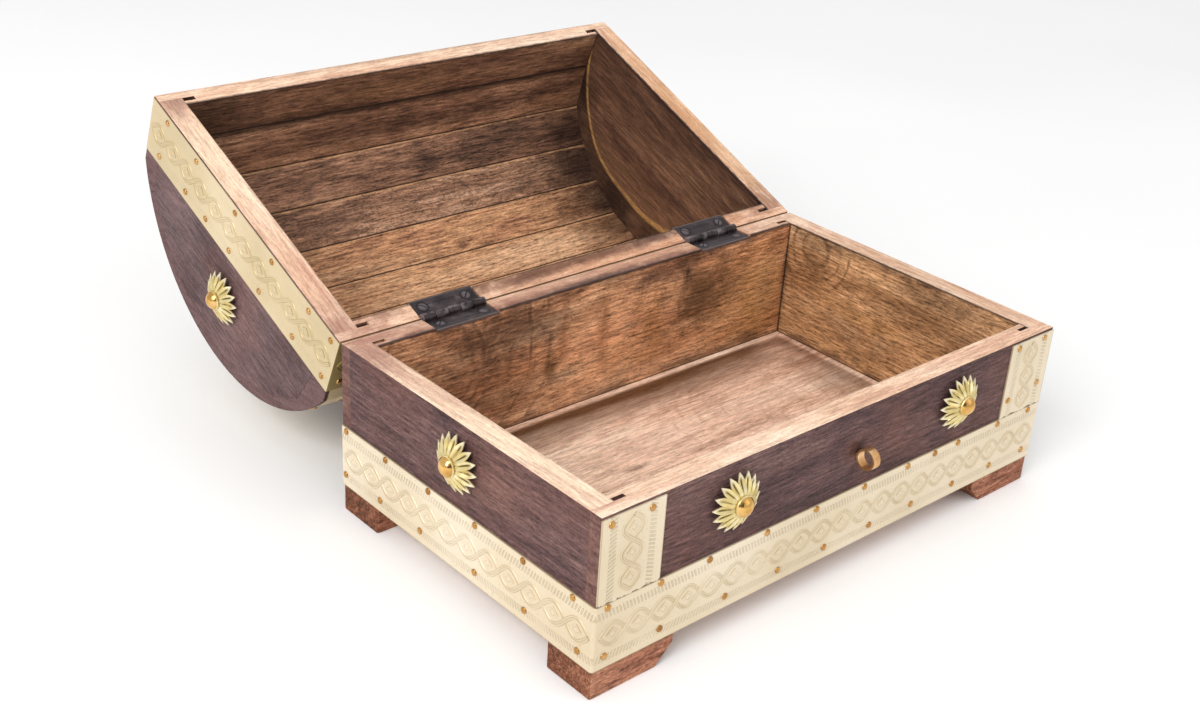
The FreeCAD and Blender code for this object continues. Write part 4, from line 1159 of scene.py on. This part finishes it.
def model_lozenge():
    """The figure in the eye of a link: one lozenge inside another."""
    lozenge = stepped_column(corners=4, radius=LOZENGE_RADIUS, low=-RELIEF, high=RELIEF, steps=LOZENGE_STEPS)
    pick_points(lozenge, lambda vertex: True)
    bpy.ops.transform.resize(value=(LOZENGE_STRETCH, 1, 1), center_override=(0, 0, 0))
    bpy.ops.object.mode_set(mode="OBJECT")
    return lozenge


def model_link():
    """One link of a chain along X: two ribbons that cross, with a lozenge between them."""
    ribbon = model_ribbon()
    twin = copy_of(ribbon, Matrix.Rotation(math.pi, 4, "Z"))
    link = join_pieces([ribbon, twin, model_lozenge()], "link")
    bpy.ops.object.shade_smooth_by_angle(angle=math.radians(75))
    # Each point keeps how low it lies, for the painted shade in the chain's low places
    hollow_shade = link.data.attributes.new("hollow_shade", "FLOAT", "POINT")
    for vertex in link.data.vertices:
        hollow_shade.data[vertex.index].value = min(max(1 - vertex.co.z / RELIEF, 0), 1)
    return link


def chain(link, start, end, out):
    """Copies of the link from one point to another of a face that looks out."""
    run = end - start
    count = round(run.length / LINK)
    along = run.normalized()
    axes = Matrix((along, out.cross(along), out)).transposed().to_4x4()
    fit = Matrix.Scale(run.length / count / LINK, 4, (1, 0, 0))
    middles = [start + run * (number + 0.5) / count for number in range(count)]
    return [copy_of(link, Matrix.Translation(middle) @ axes @ fit) for middle in middles]


def band_runs(middle_y, face, level, front_stops):
    """Start, end and facing of each chain round a band; front_stops are the ends of a gap in its front."""
    far_x, far_y = HALF_WIDTH - CHAIN_MARGIN, HALF_DEPTH - CHAIN_MARGIN
    front, back, side = middle_y - HALF_DEPTH - face, middle_y + HALF_DEPTH + face, HALF_WIDTH + face
    stops = [-far_x, *front_stops, far_x]
    runs = [((left, front), (right, front), (0, -1)) for left, right in zip(stops[::2], stops[1::2])]
    runs += [((far_x, back), (CHAIN_MARGIN, back), (0, 1)), ((-CHAIN_MARGIN, back), (-far_x, back), (0, 1))]
    for way in SIDES.values():
        runs.append(((way * side, middle_y - way * far_y), (way * side, middle_y + way * far_y), (way, 0)))
    return [(Vector((*start, level)), Vector((*end, level)), Vector((*out, 0))) for start, end, out in runs]


def base_chain_runs():
    """The same for all the chains of the base: round its band and up its front plates."""
    runs = band_runs(0, BAND_FACE, BAND_MIDDLE, ())
    for side in SIDES:
        low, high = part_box(f"front_plate_{side}")
        x = (low.x + high.x) / 2
        start = Vector((x, low.y, BAND_HIGH.z + CHAIN_MARGIN))
        runs.append((start, Vector((x, low.y, high.z - CHAIN_MARGIN)), FRONTWARD))
    return runs


def lid_chain_runs():
    """The same for the lid; each link over the dome is a short run of its own."""
    hasp_low, hasp_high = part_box("hasp_plate")
    gap = (hasp_low.x - CHAIN_MARGIN, hasp_high.x + CHAIN_MARGIN)
    runs = band_runs(LID_MIDDLE, LID_BAND_FACE, LID_BAND_MIDDLE, gap)
    reach = SHOULDER_ANGLE - CHAIN_MARGIN / DOME_RADIUS
    height = DOME_RADIUS + LID_BAND_FACE + STRAP_LIFT
    steps = range(2 * STRAP_LINKS + 1)
    turns = [Matrix.Rotation(reach * (step / STRAP_LINKS - 1), 3, "X") for step in steps]
    outs = [turn @ Vector((0, 0, 1)) for turn in turns]
    for side in SIDES:
        middle = across_box(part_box(f"lid_strap_{side}"))[0]
        axis = Vector((middle, LID_MIDDLE, DOME_LEVEL))
        for before, out, after in zip(outs[:-2:2], outs[1:-1:2], outs[2::2]):
            runs.append((axis + before * height, axis + after * height, out))
    return [(opened(start), opened(end), OPENING @ out) for start, end, out in runs]


def make_chains():
    link = model_link()
    for body, runs, lid in (("base", base_chain_runs(), False), ("lid", lid_chain_runs(), True)):
        piece = join_pieces([copy for run in runs for copy in chain(link, *run)], f"{body}_band_chain")
        piece.data.materials.append(chain_brass(f"{body}_chain_brass", lid))
        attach(piece, body)
    bpy.data.objects.remove(link)


# Stage, light and camera

VIEW_AZIMUTH = math.radians(44.58)
VIEW_ELEVATION = math.radians(27.5)
VIEW_ROLL = math.radians(-4.65)
VIEW_DISTANCE = 0.777
VIEW_TARGET = Vector((-0.0155, 0.0279, 0.0564))
LENS_WIDTH = 36
FOCAL_PIXELS = 1577.1
PHOTO_WIDTH, PHOTO_HEIGHT = 1200, 720
PRINCIPAL = (646.4, 380.4)
FLAG_DISTANCE = 1.1
FLAG_SIZE = 0.8
LIGHT_TARGET = Vector((0, 0.05, 0.08))
SKY_STRENGTH = 0.8


def light(name, place, size, power):
    data = bpy.data.lights.new(name, "AREA")
    data.size = size
    data.energy = power
    lamp = bpy.data.objects.new(name, data)
    bpy.context.scene.collection.objects.link(lamp)
    lamp.location = place
    lamp.rotation_euler = (LIGHT_TARGET - Vector(place)).to_track_quat("-Z", "Y").to_euler()


def stage_cloth(piece, name, specular, grain, *shades):
    """A dull, faintly mottled cover for a piece of the stage."""
    cloth = Surface(name, roughness=0.9, specular=specular)
    cloth.shade(cloth.mottle(grain), (0.3, 0.7), shades)
    piece.data.materials.append(cloth.finish())


def make_stage():
    """A white floor and soft light from all round."""
    bpy.ops.mesh.primitive_plane_add(size=12, location=(0, 0, 0))
    floor = bpy.context.object
    floor.name = "floor"
    stage_cloth(floor, "white_floor", 0.1, 2.0, "#FAFAFA", "#FFFFFF")
    world = bpy.data.worlds.new("studio")
    world.use_nodes = True
    sky = world.node_tree.nodes["Background"].inputs
    sky["Color"].default_value = (1, 1, 1, 1)
    sky["Strength"].default_value = SKY_STRENGTH
    bpy.context.scene.world = world
    light("key", (-1.5, -0.5, 1.3), 1.0, 22)
    light("fill", (0.6, -1.4, 1.2), 1.2, 3)
    bpy.context.scene.view_settings.view_transform = "Standard"


def make_camera():
    """The photograph's own view: direction, roll, focal length and the place of its optical axis."""
    back = Vector((-math.sin(VIEW_AZIMUTH) * math.cos(VIEW_ELEVATION),
                   -math.cos(VIEW_AZIMUTH) * math.cos(VIEW_ELEVATION), math.sin(VIEW_ELEVATION)))
    right = (-back).cross(Vector((0, 0, 1))).normalized()
    down = (-back).cross(right)
    rolled_right = right * math.cos(VIEW_ROLL) + down * math.sin(VIEW_ROLL)
    rolled_down = down * math.cos(VIEW_ROLL) - right * math.sin(VIEW_ROLL)
    data = bpy.data.cameras.new("view")
    data.sensor_width = LENS_WIDTH
    data.lens = FOCAL_PIXELS / PHOTO_WIDTH * LENS_WIDTH
    data.shift_x = (PHOTO_WIDTH / 2 - PRINCIPAL[0]) / PHOTO_WIDTH
    data.shift_y = (PRINCIPAL[1] - PHOTO_HEIGHT / 2) / PHOTO_WIDTH
    data.clip_start = 0.01
    camera = bpy.data.objects.new("view", data)
    bpy.context.scene.collection.objects.link(camera)
    axes = Matrix((rolled_right, -rolled_down, back)).transposed()
    camera.matrix_world = Matrix.Translation(VIEW_TARGET + back * VIEW_DISTANCE) @ axes.to_4x4()
    bpy.context.scene.camera = camera


def make_flag():
    """A dark card behind the camera, seen only in the reflections of the polished brass."""
    away = bpy.context.scene.camera.matrix_world.to_3x3() @ Vector((0, 0, 1))
    bpy.ops.mesh.primitive_grid_add(x_subdivisions=4, y_subdivisions=4, size=FLAG_SIZE,
                                    location=VIEW_TARGET + away * FLAG_DISTANCE,
                                    rotation=away.to_track_quat("Z", "Y").to_euler())
    flag = bpy.context.object
    flag.name = "dark_flag"
    flag.visible_camera = False
    flag.visible_diffuse = False
    flag.visible_shadow = False
    stage_cloth(flag, "flag_cloth", 0.05, 9.0, "#1C1917", "#2C2623")


dress_base_boards()
dress_feet()
dress_lid_boards()
dress_staves()
dress_brass_sheet()
dress_fittings()
make_rosettes()
make_pins()
make_chains()
make_stage()
make_camera()
make_flag()
